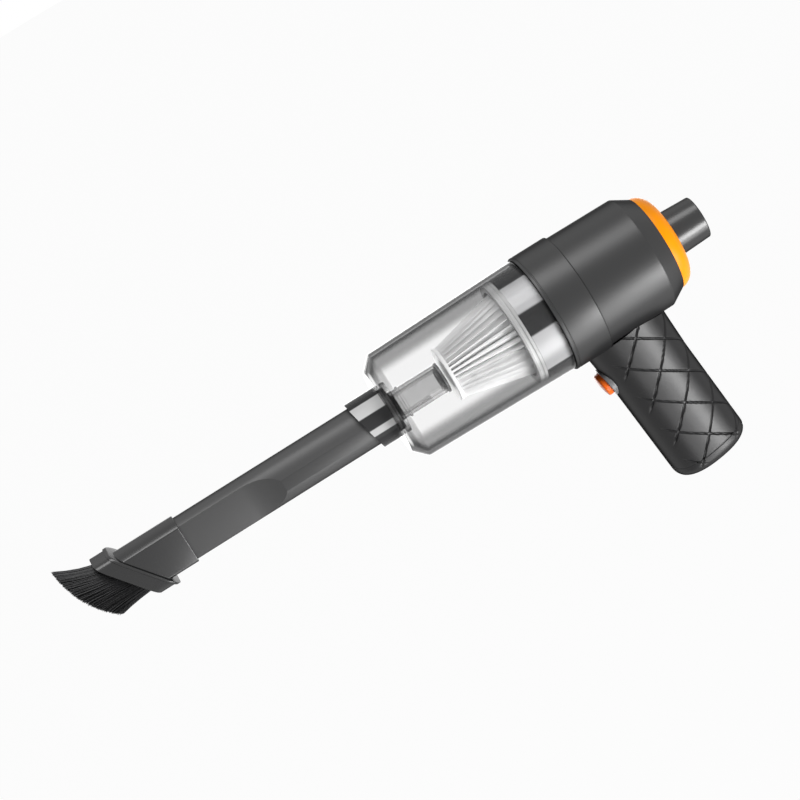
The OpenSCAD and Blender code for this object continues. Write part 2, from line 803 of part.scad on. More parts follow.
// The tufts stand in an oval ring; their tips spread upwards and downwards and close in from the sides
bristle_rings = 5;
bristle_sides = 28;
bristle_curve = 1.6;    // exponent of the spread
bristle_pinch = 0.25;   // share of the thickness that is lost at the tips
bristle_crown = 0.135;  // share by which the end tufts are shorter than the middle ones
bristle_reach = ferrule_front_s + bristle_len - tuft_root_s;

function bristle_spread(up) = bristle_flare * up * up - bristle_droop * (1 - up) * (1 - up);

function bristle_point(w, t, angle, f) = let (
        p = oval_point(w / 2, t / 2, angle),
        up = p[0] / w + 0.5,
        trim = 1 - bristle_crown * (1 - sin(180 * up)))
    [p[0] + bristle_spread(up) * pow(f, bristle_curve), p[1] * (1 - bristle_pinch * f),
     tuft_root_s + slant_rise * p[0] + bristle_reach * trim * f];

function bristle_ring(w, t) = [for (k = [0:bristle_rings]) for (i = [0:bristle_sides - 1])
    bristle_point(w, t, 360 * i / bristle_sides, k / bristle_rings)];

module brush_bristles() {
    n = bristle_sides;
    m = (bristle_rings + 1) * n;
    outer = bristle_ring(tuft_outer_h, tuft_outer_t);
    inner = bristle_ring(tuft_inner_h, tuft_inner_t);
    walls = [for (k = [0:bristle_rings - 1], i = [0:n - 1]) let (
        j = (i + 1) % n, a = k * n + i, b = k * n + j, c = a + n, d = b + n) each [
        [a, c, b], [b, c, d], [m + a, m + b, m + c], [m + b, m + d, m + c]]];
    ends = [for (i = [0:n - 1]) let (j = (i + 1) % n, q = bristle_rings * n) each [
        [i, j, m + i], [j, m + j, m + i], [q + i, m + q + i, q + j], [q + j, m + q + i, m + q + j]]];
    color("black") on_axis() polyhedron(concat(outer, inner), concat(walls, ends));
}

// ---------------------------------------------------------------- grip

// Oval loft through the handle's levels, drawn in by a wall
module handle_loft(inset, bottom) {
    levels = concat([for (l = handle_levels) if (l[0] < bottom) l],
        [[bottom, oval_a(bottom), oval_b(bottom)]]);
    for (i = [0:len(levels) - 2]) hull() {
        for (l = [levels[i], levels[i + 1]]) translate([0, 0, -l[0]])
            linear_extrude(0.01) polygon(oval(l[1] - inset, l[2] - inset));
    }
}

// What the barrel and the collar take out of the grip's top
module barrel_clearance() {
    on_axis() {
        translate([0, 0, barrel_s])
            cylinder(r = barrel_d / 2 + slip, h = collar_front_s - barrel_s, $fn = 96);
        translate([0, 0, collar_s - slip])
            cylinder(r = collar_d / 2 + slip, h = collar_len + 2 * slip, $fn = 96);
    }
}

// Perimeter position, counted from the middle of a side to the rear, turned into the oval's angle
perimeter_steps = 24;
side_arc = [for (i = [0:perimeter_steps])
    oval_point(handle_a / 2, handle_b / 2, -90 + 90 * i / perimeter_steps)];
function run_to(i) = i == 0 ? 0 : run_to(i - 1) + norm(side_arc[i] - side_arc[i - 1]);
arc_table = [for (i = [0:perimeter_steps]) [run_to(i), 90 * i / perimeter_steps]];
quarter = run_to(perimeter_steps);

function skin_point(u, h) =
    let (t = -90 + sign(u) * lookup(abs(u), arc_table), p = oval_point(oval_a(h), oval_b(h), t))
    [p[0], p[1], -h];

groove_front = -diamond_half * 1.1;
groove_step = 4.6;
groove_top = 30;
groove_bottom = grip_end - 2;
groove_slope = groove_pitch / 2 / diamond_half;
groove_start = 32.6;

// Perimeter position on a groove's line, before the drift, of a position on the skin
function undrifted(u, start, slope) = (u - groove_drift * start) / (1 + groove_drift * slope);

module groove(start, slope) {
    front = undrifted(groove_front, start, slope);
    rear = undrifted(quarter, start, slope);
    lo = max(front, slope > 0 ? (groove_top - start) / slope : (groove_bottom - start) / slope);
    hi = min(rear, slope > 0 ? (groove_bottom - start) / slope : (groove_top - start) / slope);
    steps = max(1, ceil((hi - lo) / groove_step));
    if (hi > lo + 1) for (i = [0:steps - 1]) hull() {
        for (k = [i, i + 1]) let (u = lo + (hi - lo) * k / steps, h = start + slope * u)
            translate(skin_point(u + groove_drift * h, h)) sphere(r = groove_w / 2, $fn = 6);
    }
}

module grooves() {
    for (i = [-1:4]) {
        groove(groove_start + groove_pitch * i, groove_slope);
        groove(groove_start + groove_pitch * i, -groove_slope);
    }
}

module screw_boss(place) {
    translate([place[0], 0, -place[1]]) rotate([90, 0, 0])
        cylinder(r = screw_boss_r, h = handle_b / 2 - 1, $fn = 20);
}

module grip_half() {
    difference() {
        union() {
            difference() {
                handle_loft(0, grip_end);
                handle_loft(grip_wall, grip_end + over);
            }
            intersection() {
                handle_loft(grip_wall / 2, grip_end);
                union() {
                    translate([-handle_a, -handle_b, -deck_h - deck_t])
                        cube([2 * handle_a, handle_b, deck_t]);
                    for (place = screw_places) screw_boss(place);
                }
            }
            translate([neck_x, 0, -deck_h - deck_t]) linear_extrude(deck_h + deck_t - neck_top)
                polygon(oval(neck_a, neck_b, neck_steps));
        }
        translate([neck_x, 0, -deck_h - deck_t - over]) linear_extrude(deck_h)
            polygon(oval(neck_a - neck_wall, neck_b - neck_wall, neck_steps));
        difference() {
            translate([-handle_a, -handle_a, -deck_h]) cube([2 * handle_a, 2 * handle_a, deck_h]);
            translate([neck_x, 0, 0]) linear_extrude(2 * deck_h, center = true)
                polygon(oval(neck_a + 0.01, neck_b + 0.01, neck_steps));
            handle_loft(-over, deck_h);
        }
        translate([-handle_a, 0, -2 * handle_len]) cube([2 * handle_a, handle_b, 2 * handle_len]);
        grooves();
    }
}

module grip_left() {
    color("#2b2b2d") difference() {
        in_handle() grip_half();
        saddle();
        in_button() bezel_hole();
        in_handle() for (place = screw_places) translate([place[0], over, -place[1]]) rotate([90, 0, 0])
            cylinder(r = screw_hole_r, h = screw_reach + over, $fn = 20);
    }
}

module grip_right() {
    color("#2b2b2d") difference() {
        in_handle() mirror([0, 1, 0]) grip_half();
        saddle();
        in_button() bezel_hole();
        in_handle() for (place = screw_places) translate([place[0], -over, -place[1]]) rotate([-90, 0, 0]) {
            cylinder(r = screw_hole_r, h = handle_b, $fn = 20);
            translate([0, 0, screw_seat + over]) cylinder(r = screw_head_r + slip, h = handle_b, $fn = 24);
        }
    }
}

// The barrel's space, open where the neck passes through the barrel's wall
module saddle() {
    difference() {
        barrel_clearance();
        in_handle() translate([neck_x, 0, -deck_h - 1]) linear_extrude(deck_h)
            polygon(oval(neck_a, neck_b, neck_steps));
    }
}

module bezel_hole() {
    translate([-bezel_depth, 0, 0]) rotate([0, 90, 0])
        cylinder(r = bezel_r + fit, h = 3 * bezel_depth, $fn = 48);
}

module grip_screws() {
    shank = screw_reach + screw_seat - 1;
    color("silver") in_handle() for (at = screw_places) translate([at[0], 0, -at[1]]) rotate([-90, 0, 0]) {
        translate([0, 0, 1 - screw_reach]) cylinder(r = screw_r, h = shank, $fn = 24);
        difference() {
            translate([0, 0, screw_seat]) cylinder(r = screw_head_r, h = screw_head_len, $fn = 32);
            translate([-0.4, -1.6, screw_seat + screw_head_len - 0.8]) cube([0.8, 3.2, 2]);
            translate([-1.6, -0.4, screw_seat + screw_head_len - 0.8]) cube([3.2, 0.8, 2]);
        }
    }
}

module grip_end_cap() {
    lip = 1.4;
    lip_h = 0.8;
    a = oval_a(grip_end);
    b = oval_b(grip_end);
    round_steps = 4;
    dome = 0.8;
    color("#2b2b2d") in_handle() difference() {
        union() {
            hull() {
                translate([0, 0, -grip_end - 3]) linear_extrude(3) polygon(oval(a, b));
                for (i = [0:round_steps]) let (t = 90 * i / round_steps, inset = cap_round * (1 - cos(t)))
                    translate([0, 0, -handle_len + dome + cap_round * (1 - sin(t))])
                        linear_extrude(0.01) polygon(oval(a - inset, b - inset));
                translate([0, 0, -handle_len]) linear_extrude(0.01) polygon(oval(a - 12, b - 12));
            }
            translate([0, 0, -grip_end - 0.5]) linear_extrude(0.5 + lip_h)
                polygon(oval(a - grip_wall - slip, b - grip_wall - slip));
        }
        hull() {
            translate([0, 0, -grip_end - 1]) linear_extrude(1 + 2 * lip_h)
                polygon(oval(a - grip_wall - slip - lip, b - grip_wall - slip - lip));
            translate([0, 0, -handle_len + grip_wall + cap_round / 2]) linear_extrude(0.01)
                polygon(oval(a - grip_wall - slip - lip, b - grip_wall - slip - lip));
            translate([0, 0, -handle_len + grip_wall]) linear_extrude(0.01)
                polygon(oval(a - grip_wall - cap_round, b - grip_wall - cap_round));
        }
        translate([a - port_len - 1, -port_w / 2 - fit, -port_h - port_t / 2 - fit])
            cube([port_len + 2, port_w + 2 * fit, port_t + 2 * fit]);
        translate([a - 8, port_w / 2 + 3, -port_h]) rotate([0, 90, 0]) cylinder(r = 1.5, h = 10, $fn = 24);
    }
}

// ---------------------------------------------------------------- power button

module button_bezel() {
    color("gray") in_button() rotate([0, 90, 0]) rotate_extrude() polygon([
        [button_d / 2 + apart, -bezel_proud], [bezel_r - 0.5, -bezel_proud], [bezel_r, 0.5 - bezel_proud],
        [bezel_r, bezel_depth], [button_d / 2 + apart, bezel_depth]
    ]);
}

module power_button() {
    r = button_d / 2;
    face = [for (t = [0:15:90]) [r - 1 + sin(t), 1 - button_proud - cos(t)]];
    color("orangered") in_button() rotate([0, 90, 0]) rotate_extrude() polygon(concat(
        [[0, -button_proud - 0.5], [r / 2, -button_proud - 0.3]], face,
        [[r, bezel_depth + apart], [button_flange_r, bezel_depth + apart], [button_flange_r, button_back],
         [stem_r, button_back], [stem_r, stem_end], [0, stem_end]]));
}

module switch_plunger() {
    color("white") in_button() translate([stem_end, 0, 0]) rotate([0, 90, 0])
        cylinder(r = plunger_r, h = plunger_len);
}

module power_switch() {
    hole = plunger_len + button_travel - switch_gap + apart;
    color("black") in_button() union() {
        difference() {
            translate([switch_x, -switch_size / 2, -switch_size / 2])
                cube([switch_depth, switch_size, switch_size]);
            translate([switch_x - over, 0, 0]) rotate([0, 90, 0])
                cylinder(r = plunger_r + 0.06, h = hole + over);
        }
    }
}

module control_board() {
    top = 8;
    bottom = -5.5;
    color("darkgreen") in_button() union() {
        translate([board_x, -board_w / 2, bottom]) cube([board_t, board_w, top - bottom]);
        translate([board_x + board_t - 0.1, -9, -2]) cube([1.2, 6, 6]);
        translate([board_x + board_t - 0.1, -1, -4]) cube([1.8, 5, 4]);
        translate([board_x + board_t - 0.1, 7, 2]) rotate([0, 90, 0]) cylinder(r = 2.5, h = 5);
    }
}

// ---------------------------------------------------------------- battery and charging

module battery_cells() {
    color("steelblue") in_handle() for (side = [-1, 1]) translate([side * cell_x, 0, -cell_bottom]) {
        cylinder(r = cell_d / 2, h = cell_len - 0.8);
        cylinder(r = cell_d / 2 - 4, h = cell_len);
    }
}

module cell_holder() {
    a = oval_a(grip_end) - grip_wall - apart;
    b = oval_b(grip_end) - grip_wall - apart;
    web_y = 6.6;
    web_w = 5;
    web_t = 3.2;
    web_end = cell_bottom + link_t + plate_t / 2;
    front_x = 15.4;   // the top plate stops short of the button's bezel
    color("black") in_handle() union() {
        difference() {
            translate([0, 0, -cell_top + link_t]) linear_extrude(plate_t) polygon(oval(a, b));
            translate([-2 * a, -bezel_r - 0.5, -cell_top])
                cube([2 * a - front_x, 2 * bezel_r + 1, 2 * plate_t]);
        }
        translate([0, 0, -cell_bottom - link_t - plate_t]) linear_extrude(plate_t) polygon(oval(a, b));
        for (side = [-1, 1]) translate([-web_t / 2, side * (web_y + web_w / 2) - web_w / 2, -web_end])
            cube([web_t, web_w, cell_len + 2 * link_t + plate_t]);
    }
}

module cell_links() {
    w = 8;
    color("silver") in_handle() {
        translate([-cell_x - w / 2, -w / 2, -cell_bottom - link_t]) cube([2 * cell_x + w, w, link_t]);
        for (side = [-1, 1]) translate([side * cell_x - w / 2, -w / 2, -cell_top]) cube([w, w, link_t]);
    }
}

module charge_board() {
    board_back = 6;
    board_x0 = oval_a(grip_end) - charge_board_len - board_back;
    color("darkgreen") in_handle()
        translate([board_x0, -charge_board_w / 2, -charge_board_h - charge_board_t])
            cube([charge_board_len, charge_board_w, charge_board_t]);
}

module charge_port() {
    a = oval_a(grip_end);
    shell = 0.4;
    color("silver") in_handle() translate([a - port_len - 0.8, 0, -port_h]) difference() {
        translate([0, -port_w / 2, -port_t / 2]) cube([port_len, port_w, port_t]);
        translate([1, -port_w / 2 + shell, -port_t / 2 + shell])
            cube([port_len, port_w - 2 * shell, port_t - 2 * shell]);
    }
}

module charge_light() {
    a = oval_a(grip_end);
    color("white") in_handle() translate([a - 7, port_w / 2 + 3, -port_h]) rotate([0, 90, 0])
        cylinder(r = 1.4, h = 6.2, $fn = 24);
}

barrel_shell();
lock_collar();
trim_ring();
outlet_tube();
inlet_plate();
fan_housing();
diffuser_plate();
impeller();
motor_shaft();
armature();
motor_can();
motor_end_cap();
front_bearing();
rear_bearing();
motor_mount();
filter_frame();
filter_seal();
filter_cage();
filter_media();
filter_nose();
dust_cup();
cup_seal();
inlet_duct();
duct_cap();
crevice_nozzle();
brush_sleeve();
tuft_strip();
brush_bristles();
grip_left();
grip_right();
grip_end_cap();
grip_screws();
power_button();
switch_plunger();
button_bezel();
power_switch();
control_board();
battery_cells();
cell_holder();
cell_links();
charge_board();
charge_port();
charge_light();
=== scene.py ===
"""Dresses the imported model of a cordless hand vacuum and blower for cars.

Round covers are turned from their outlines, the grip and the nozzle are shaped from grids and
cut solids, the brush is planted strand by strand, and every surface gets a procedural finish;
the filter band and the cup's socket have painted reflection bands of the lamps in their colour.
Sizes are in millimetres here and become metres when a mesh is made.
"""

import logging
import math
import random
from bisect import bisect_left
from dataclasses import dataclass
from enum import Enum
from typing import Callable, Iterable, Mapping, Sequence

import bmesh
import bpy
from mathutils import Matrix, Quaternion, Vector


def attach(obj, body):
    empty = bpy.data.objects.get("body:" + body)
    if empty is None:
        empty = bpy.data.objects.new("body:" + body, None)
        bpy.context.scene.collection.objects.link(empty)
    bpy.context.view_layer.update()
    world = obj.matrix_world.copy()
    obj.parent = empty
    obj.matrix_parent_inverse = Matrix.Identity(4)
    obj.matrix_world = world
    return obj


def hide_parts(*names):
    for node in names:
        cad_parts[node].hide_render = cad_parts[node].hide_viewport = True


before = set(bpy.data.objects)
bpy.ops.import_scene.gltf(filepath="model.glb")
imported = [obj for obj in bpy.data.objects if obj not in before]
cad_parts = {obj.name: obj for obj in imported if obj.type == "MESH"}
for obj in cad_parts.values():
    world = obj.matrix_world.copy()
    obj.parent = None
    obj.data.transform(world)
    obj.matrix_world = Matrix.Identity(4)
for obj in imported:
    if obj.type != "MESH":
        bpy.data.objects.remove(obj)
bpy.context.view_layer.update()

MM = 0.001
SHARP_ANGLE = math.radians(32)
ROUNDNESS = 2.3
CLOUD_PER_M = 45.0
# Soft edges of the painted reflection bands, and how bright the lower painted band is against the upper.
PAINTED_REFLECTION_SOFTNESS = 0.025
LOWER_PAINTED_REFLECTION = 0.85
MATTE_FROM, MATTE_TO = 0.35, 0.8
WHITE = (1.0, 1.0, 1.0, 1.0)
log = logging.getLogger("blower")

Outline = Sequence[tuple[float, ...]]


class Body(Enum):
    """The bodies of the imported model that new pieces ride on."""

    MAIN = "main"
    BUTTON = "button"
    FILTER = "filter"
    CUP = "cup"
    NOZZLE = "nozzle"
    BRUSH = "brush"


class Pattern(Enum):
    """How a finish varies over a surface."""

    MOULDED = "moulded"
    BRUSHED = "brushed"
    PAPER = "paper"
    BOARD = "board"


# ------------------------------------------------------------------ shader maths


class Level:
    """A shader value that grows Math nodes as Python expressions use it."""

    def __init__(self, maker: "Tree", socket: bpy.types.NodeSocket) -> None:
        """Wraps a value socket.

        Args:
            maker: the tree that the socket is in.
            socket: the output that carries the value.
        """
        self.maker = maker
        self.socket = socket

    def _math(self, operation: str, *others: "Level | float", clamp: bool = False) -> "Level":
        """Adds one Math node.

        Args:
            operation: the node's operation.
            others: the values that follow this one.
            clamp: whether the result is held between 0 and 1.

        Returns:
            The node's result.
        """
        values = dict(enumerate([self, *others]))
        node = self.maker.add("ShaderNodeMath", {"operation": operation, "use_clamp": clamp}, values)
        return Level(self.maker, node.outputs[0])

    def __add__(self, other: "Level | float") -> "Level":
        """Adds a value."""
        return self._math("ADD", other)

    __radd__ = __add__

    def __mul__(self, other: "Level | float") -> "Level":
        """Multiplies by a value."""
        return self._math("MULTIPLY", other)

    __rmul__ = __mul__

    def __rsub__(self, other: float) -> "Level":
        """Is taken away from a number."""
        return (self * -1.0) + other

    def above(self, limit: float) -> "Level":
        """Returns 1 where this value is above a limit."""
        return self._math("GREATER_THAN", limit)

    def held(self) -> "Level":
        """Returns this value held between 0 and 1."""
        return self._math("ADD", 0.0, clamp=True)

    def wave(self) -> "Level":
        """Returns the sine of this value."""
        return self._math("SINE")

    def angle_over(self, other: "Level") -> "Level":
        """Returns the angle whose tangent is this value over another."""
        return self._math("ARCTAN2", other)

    def size(self) -> "Level":
        """Returns this value without its sign."""
        return self._math("ABSOLUTE")

    def rise(self, low: float, high: float) -> "Level":
        """Returns a smooth step from 0 to 1.

        Args:
            low: where the step starts.
            high: where it ends.

        Returns:
            The step.
        """
        node = self.maker.add("ShaderNodeMapRange", {"interpolation_type": "SMOOTHSTEP"},
                              {"Value": self, "From Min": low, "From Max": high})
        return Level(self.maker, node.outputs[0])

    def within(self, low: float, high: float, soft: float) -> "Level":
        """Returns 1 between two limits and 0 outside them, with soft edges."""
        return self.rise(low - soft, low + soft) * (1.0 - self.rise(high - soft, high + soft))


class Tree:
    """A shader's node tree under construction."""

    def __init__(self, tree: bpy.types.NodeTree) -> None:
        """Takes a node tree and empties it.

        Args:
            tree: the node tree.
        """
        self.tree = tree
        self.tree.nodes.clear()

    def add(self, kind: str, settings: Mapping[str, object] | None = None,
            inputs: Mapping[str | int, object] | None = None) -> bpy.types.Node:
        """Adds a node, sets it up and feeds it.

        Args:
            kind: the node's type.
            settings: attributes set before anything is fed.
            inputs: values, levels or sockets by the input's name or number.

        Returns:
            The new node.
        """
        node = self.tree.nodes.new(kind)
        for key, value in (settings or {}).items():
            setattr(node, key, value)
        for key, value in (inputs or {}).items():
            self.feed(node, key, value)
        return node

    def feed(self, node: bpy.types.Node, key: str | int, value: object) -> None:
        """Gives a node's input a value or a link.

        Args:
            node: the node.
            key: the input's name or number.
            value: a number, a tuple, a Level or an output socket.
        """
        if isinstance(value, Level):
            value = value.socket
        if isinstance(value, bpy.types.NodeSocket):
            self.tree.links.new(value, node.inputs[key])
        else:
            node.inputs[key].default_value = value


class Surface(Tree):
    """One material under construction."""

    def __init__(self, name: str) -> None:
        """Starts an empty material.

        Args:
            name: the material's name.
        """
        self.material = bpy.data.materials.new(name)
        self.material.use_nodes = True
        super().__init__(self.material.node_tree)
        self.output = self.add("ShaderNodeOutputMaterial")

    def place(self, stretch: tuple[float, float, float] = (1.0, 1.0, 1.0)) -> bpy.types.NodeSocket:
        """Returns Object coordinates, stretched along the axes.

        Args:
            stretch: the scale along each axis.

        Returns:
            The vector output.
        """
        coords = self.add("ShaderNodeTexCoord")
        mapping = self.add("ShaderNodeMapping", None, {"Vector": coords.outputs["Object"], "Scale": stretch})
        return mapping.outputs[0]

    def split(self) -> tuple[Level, Level, Level]:
        """Returns the three Object coordinates, in metres."""
        parts = self.add("ShaderNodeSeparateXYZ", None, {0: self.place()}).outputs
        return Level(self, parts[0]), Level(self, parts[1]), Level(self, parts[2])

    def facing(self) -> Level:
        """Returns 0 where the surface is seen straight on and 1 where it is seen edge on."""
        return Level(self, self.add("ShaderNodeLayerWeight", None, {"Blend": 0.5}).outputs["Facing"])

    def noise(self, per_metre: float, detail: float = 2.0,
              stretch: tuple[float, float, float] = (1.0, 1.0, 1.0)) -> Level:
        """Adds a noise texture.

        Args:
            per_metre: the pattern's scale.
            detail: the number of octaves.
            stretch: the scale along each axis.

        Returns:
            The noise, around 0.5.
        """
        inputs = {"Vector": self.place(stretch), "Scale": per_metre, "Detail": detail}
        return Level(self, self.add("ShaderNodeTexNoise", None, inputs).outputs["Fac"])

    def blend(self, amount: Level, low: Sequence[float], high: Sequence[float]) -> bpy.types.NodeSocket:
        """Mixes two colours.

        Args:
            amount: 0 gives the first colour and 1 the second.
            low: the first colour.
            high: the second colour.

        Returns:
            The mixed colour.
        """
        node = self.add("ShaderNodeMix", {"data_type": "RGBA"},
                        {"Factor": amount, 6: (*low, 1.0), 7: (*high, 1.0)})
        return node.outputs[2]

    def bump(self, height: Level, depth_mm: float) -> bpy.types.NodeSocket:
        """Adds a Bump node.

        Args:
            height: the height, from 0 to 1.
            depth_mm: the height's full depth.

        Returns:
            The normal.
        """
        return self.add("ShaderNodeBump", None, {"Height": height, "Distance": depth_mm * MM}).outputs[0]

    def shade(self, shader: bpy.types.Node) -> bpy.types.Material:
        """Wires a shader's node to the output and returns the material."""
        self.feed(self.output, "Surface", shader.outputs[0])
        return self.material

    def shade_mix(self, share: Level, first: bpy.types.Node, second: bpy.types.Node) -> bpy.types.Material:
        """Wires two shaders to the output, the second by its share, and returns the material."""
        shaders = {0: share, 1: first.outputs[0], 2: second.outputs[0]}
        return self.shade(self.add("ShaderNodeMixShader", None, shaders))


def scaled(colour: Sequence[float], factor: float) -> tuple[float, ...]:
    """Returns a colour made lighter or darker.

    Args:
        colour: the colour.
        factor: what each part is multiplied by.

    Returns:
        The new colour, held at 1.
    """
    return tuple(min(1.0, part * factor) for part in colour)


@dataclass(frozen=True)
class Finish:
    """An opaque finish: its colour, gloss and fine relief."""

    name: str
    slot: str
    colour: tuple[float, float, float]
    roughness: float
    pattern: Pattern = Pattern.MOULDED
    metallic: float = 0.0
    specular: float = 0.5
    coat: float = 0.0
    variation: float = 0.06
    grain_per_m: float = 2600.0
    grain_mm: float = 0.02
    haze: float = 0.05
    matte_rim: float = 0.0

    def make(self) -> bpy.types.Material:
        """Builds the material.

        Returns:
            The finished material.
        """
        surface = Surface(self.name)
        height, tint = self._relief(surface)
        darker = scaled(self.colour, 1 - self.variation)
        lighter = scaled(self.colour, 1 + self.variation)
        colour = surface.blend(tint, darker, lighter)
        cloud = surface.noise(CLOUD_PER_M, 3.0)
        rough = (self.roughness - self.haze / 2) + cloud * self.haze
        shader = surface.add("ShaderNodeBsdfPrincipled", None, {
            "Base Color": colour, "Roughness": rough.held(), "Metallic": self.metallic,
            "Specular IOR Level": self.specular, "Coat Weight": self.coat, "Coat Roughness": 0.08,
            "Normal": surface.bump(height, self.grain_mm)})
        if not self.matte_rim:
            return surface.shade(shader)
        matte = surface.add("ShaderNodeBsdfDiffuse", None, {"Color": colour})
        return surface.shade_mix(surface.facing().rise(MATTE_FROM, MATTE_TO) * self.matte_rim, shader, matte)

    def _relief(self, surface: Surface) -> tuple[Level, Level]:
        """Makes the finish's fine relief and its colour pattern.

        Args:
            surface: the material under construction.

        Returns:
            The height and the tint, both around 0 to 1.
        """
        if self.pattern is Pattern.BRUSHED:
            lines = surface.noise(self.grain_per_m, 2.0, (0.04, 1.0, 1.0))
            return lines, lines
        if self.pattern is Pattern.PAPER:
            fibres = surface.noise(self.grain_per_m, 6.0, (0.35, 1.0, 1.0))
            return fibres, fibres * 0.6 + surface.noise(140.0, 2.0) * 0.4
        if self.pattern is Pattern.BOARD:
            tracks = (surface.noise(420.0, 0.0, (1.0, 0.2, 1.0)) * 60.0).wave().above(0.2)
            return tracks, tracks
        grain = surface.noise(self.grain_per_m, 3.0)
        return grain, surface.noise(60.0, 4.0) * 0.7 + grain * 0.3


def painted_reflection_bands(surface: Surface, upper: tuple[float, float], lower: tuple[float, float]) -> Level:
    """Paints the long light bands that stand for the lamps' reflections on a glossy round piece.

    Args:
        surface: the material under construction.
        upper: where the upper band starts and ends, in degrees above the side.
        lower: the same of the lower band.

    Returns:
        1 in the painted reflection bands, which run along the tool's axis.
    """
    _, side, height = surface.split()
    turn = height.angle_over(side.size())
    high = turn.within(math.radians(upper[0]), math.radians(upper[1]), PAINTED_REFLECTION_SOFTNESS)
    low = turn.within(math.radians(lower[0]), math.radians(lower[1]), PAINTED_REFLECTION_SOFTNESS)
    return high + low * LOWER_PAINTED_REFLECTION


@dataclass(frozen=True)
class PaintedReflectionFinish:
    """A glossy round moulding whose own dark colour carries long painted reflection bands of the lamps."""

    name: str
    slot: str
    # The moulding's own dark colour, the painted reflection colour and where the painted bands lie, in
    # degrees above the side.
    dark: tuple[float, float, float]
    light: tuple[float, float, float]
    upper: tuple[float, float] = (34.5, 71.0)
    lower: tuple[float, float] = (-38.0, 9.0)
    roughness: float = 0.14

    def make(self) -> bpy.types.Material:
        """Builds the material.

        Returns:
            The finished material.
        """
        surface = Surface(self.name)
        # The light bands painted into the colour stand for the lamps' reflections.
        colour = surface.blend(painted_reflection_bands(surface, self.upper, self.lower), self.dark, self.light)
        shader = surface.add("ShaderNodeBsdfPrincipled", None, {
            "Base Color": colour, "Specular IOR Level": 0.3,
            "Roughness": (surface.noise(CLOUD_PER_M) * 0.05 + self.roughness).held(),
            "Normal": surface.bump(surface.noise(900.0), 0.004)})
        return surface.shade(shader)


@dataclass(frozen=True)
class ClearFinish:
    """A clear moulding that turns grey where it is seen edge on, and can carry painted reflection bands
    towards its front.
    """

    name: str
    slot: str
    tint: tuple[float, float, float]
    body: tuple[float, float, float]
    roughness: float = 0.06
    straight: float = 0.01
    edge: float = 0.23
    edge_from: float = 0.18
    edge_to: float = 0.34
    rim: float = 0.55
    rim_from: float = 0.48
    rim_to: float = 0.78
    # Where the painted reflection bands start along the tool, how opaque that part is, the bands' painted
    # light colour and where they lie.
    painted_bands_from: float = 0.0
    painted_bands_cover: float = 0.9
    painted_reflection_colour: tuple[float, float, float] = (0.72, 0.72, 0.72)
    upper: tuple[float, float] = (36.0, 67.0)
    lower: tuple[float, float] = (-9.0, 6.0)

    def make(self) -> bpy.types.Material:
        """Builds the material.

        Returns:
            The finished material.
        """
        surface = Surface(self.name)
        facing = surface.facing()
        smear = surface.noise(90.0, 3.0, (0.3, 1.0, 1.0))
        cover = (facing.rise(self.edge_from, self.edge_to) * self.edge
                 + facing.rise(self.rim_from, self.rim_to) * self.rim + self.straight)
        colour: object = (*self.body, 1.0)
        # In front of that station (the cup's socket) the wall turns nearly opaque and its colour carries
        # painted reflections of the lamps.
        if self.painted_bands_from:
            socket = (surface.split()[0] * -1.0).above(self.painted_bands_from)
            cover = cover * (1.0 - socket) + socket * self.painted_bands_cover
            bands = painted_reflection_bands(surface, self.upper, self.lower) * socket
            colour = surface.blend(bands, self.body, self.painted_reflection_colour)
        clear = surface.add("ShaderNodeBsdfTransparent", None, {"Color": (*self.tint, 1.0)})
        gloss = surface.add("ShaderNodeBsdfPrincipled", None, {
            "Base Color": colour, "Roughness": (smear * 0.04 + self.roughness).held(),
            "Specular IOR Level": 0.05, "Normal": surface.bump(surface.noise(30.0, 1.0), 0.05)})
        return surface.shade_mix(cover.held(), clear, gloss)


BODY_GREY = Finish("satin_grey_body", "body_grey", (0.014, 0.014, 0.0143), 0.37, specular=0.50,
                   grain_mm=0.012, matte_rim=0.9)
TRIM_ORANGE = Finish("gloss_orange_trim", "orange_gloss", (0.96, 0.30, 0.002), 0.4, specular=0.15,
                     grain_mm=0.004, variation=0.02)
TUBE_GREY = Finish("gloss_tube_grey", "tube_grey", (0.014, 0.014, 0.0145), 0.28, specular=0.55,
                   grain_mm=0.004, matte_rim=0.9)
WHITE_PLASTIC = Finish("white_filter_plastic", "white_plastic", (0.93, 0.93, 0.93), 0.42, specular=0.3,
                       grain_mm=0.01, variation=0.02)
# The filter band's light stripes are painted reflections of the lamps over its smoked colour.
SMOKED_BAND_WITH_PAINTED_REFLECTIONS = PaintedReflectionFinish("smoked_filter_band_painted_reflections", "white_plastic", (0.042, 0.042, 0.043), (0.76, 0.76, 0.77))
FILTER_PAPER = Finish("pleated_filter_paper", "filter_paper", (0.93, 0.93, 0.93), 0.9, Pattern.PAPER,
                      specular=0.2, grain_per_m=3200.0, grain_mm=0.08, variation=0.04)
SEAL_RUBBER = Finish("soft_seal_rubber", "seal_rubber", (0.66, 0.66, 0.66), 0.6, grain_mm=0.02)
DARK_PLASTIC = Finish("plain_dark_plastic", "dark_plastic", (0.028, 0.028, 0.03), 0.55, specular=0.3,
                      grain_mm=0.015)
NOZZLE_GREY = Finish("satin_nozzle_grey", "nozzle_grey", (0.032, 0.032, 0.0325), 0.46, specular=0.62,
                     grain_mm=0.01, matte_rim=0.9)
BRUSH_GREY = Finish("gloss_brush_grey", "brush_grey", (0.010, 0.010, 0.0104), 0.24, specular=0.60,
                    grain_mm=0.006, matte_rim=0.7)
BRISTLE_BLACK = Finish("nylon_bristle_black", "bristle_black", (0.014, 0.014, 0.015), 0.42, specular=0.3,
                       grain_mm=0.004, variation=0.3)
GRIP_BLACK = Finish("satin_grip_black", "grip_black", (0.005, 0.0048, 0.0052), 0.36, specular=0.34,
                    grain_mm=0.014, matte_rim=0.95)
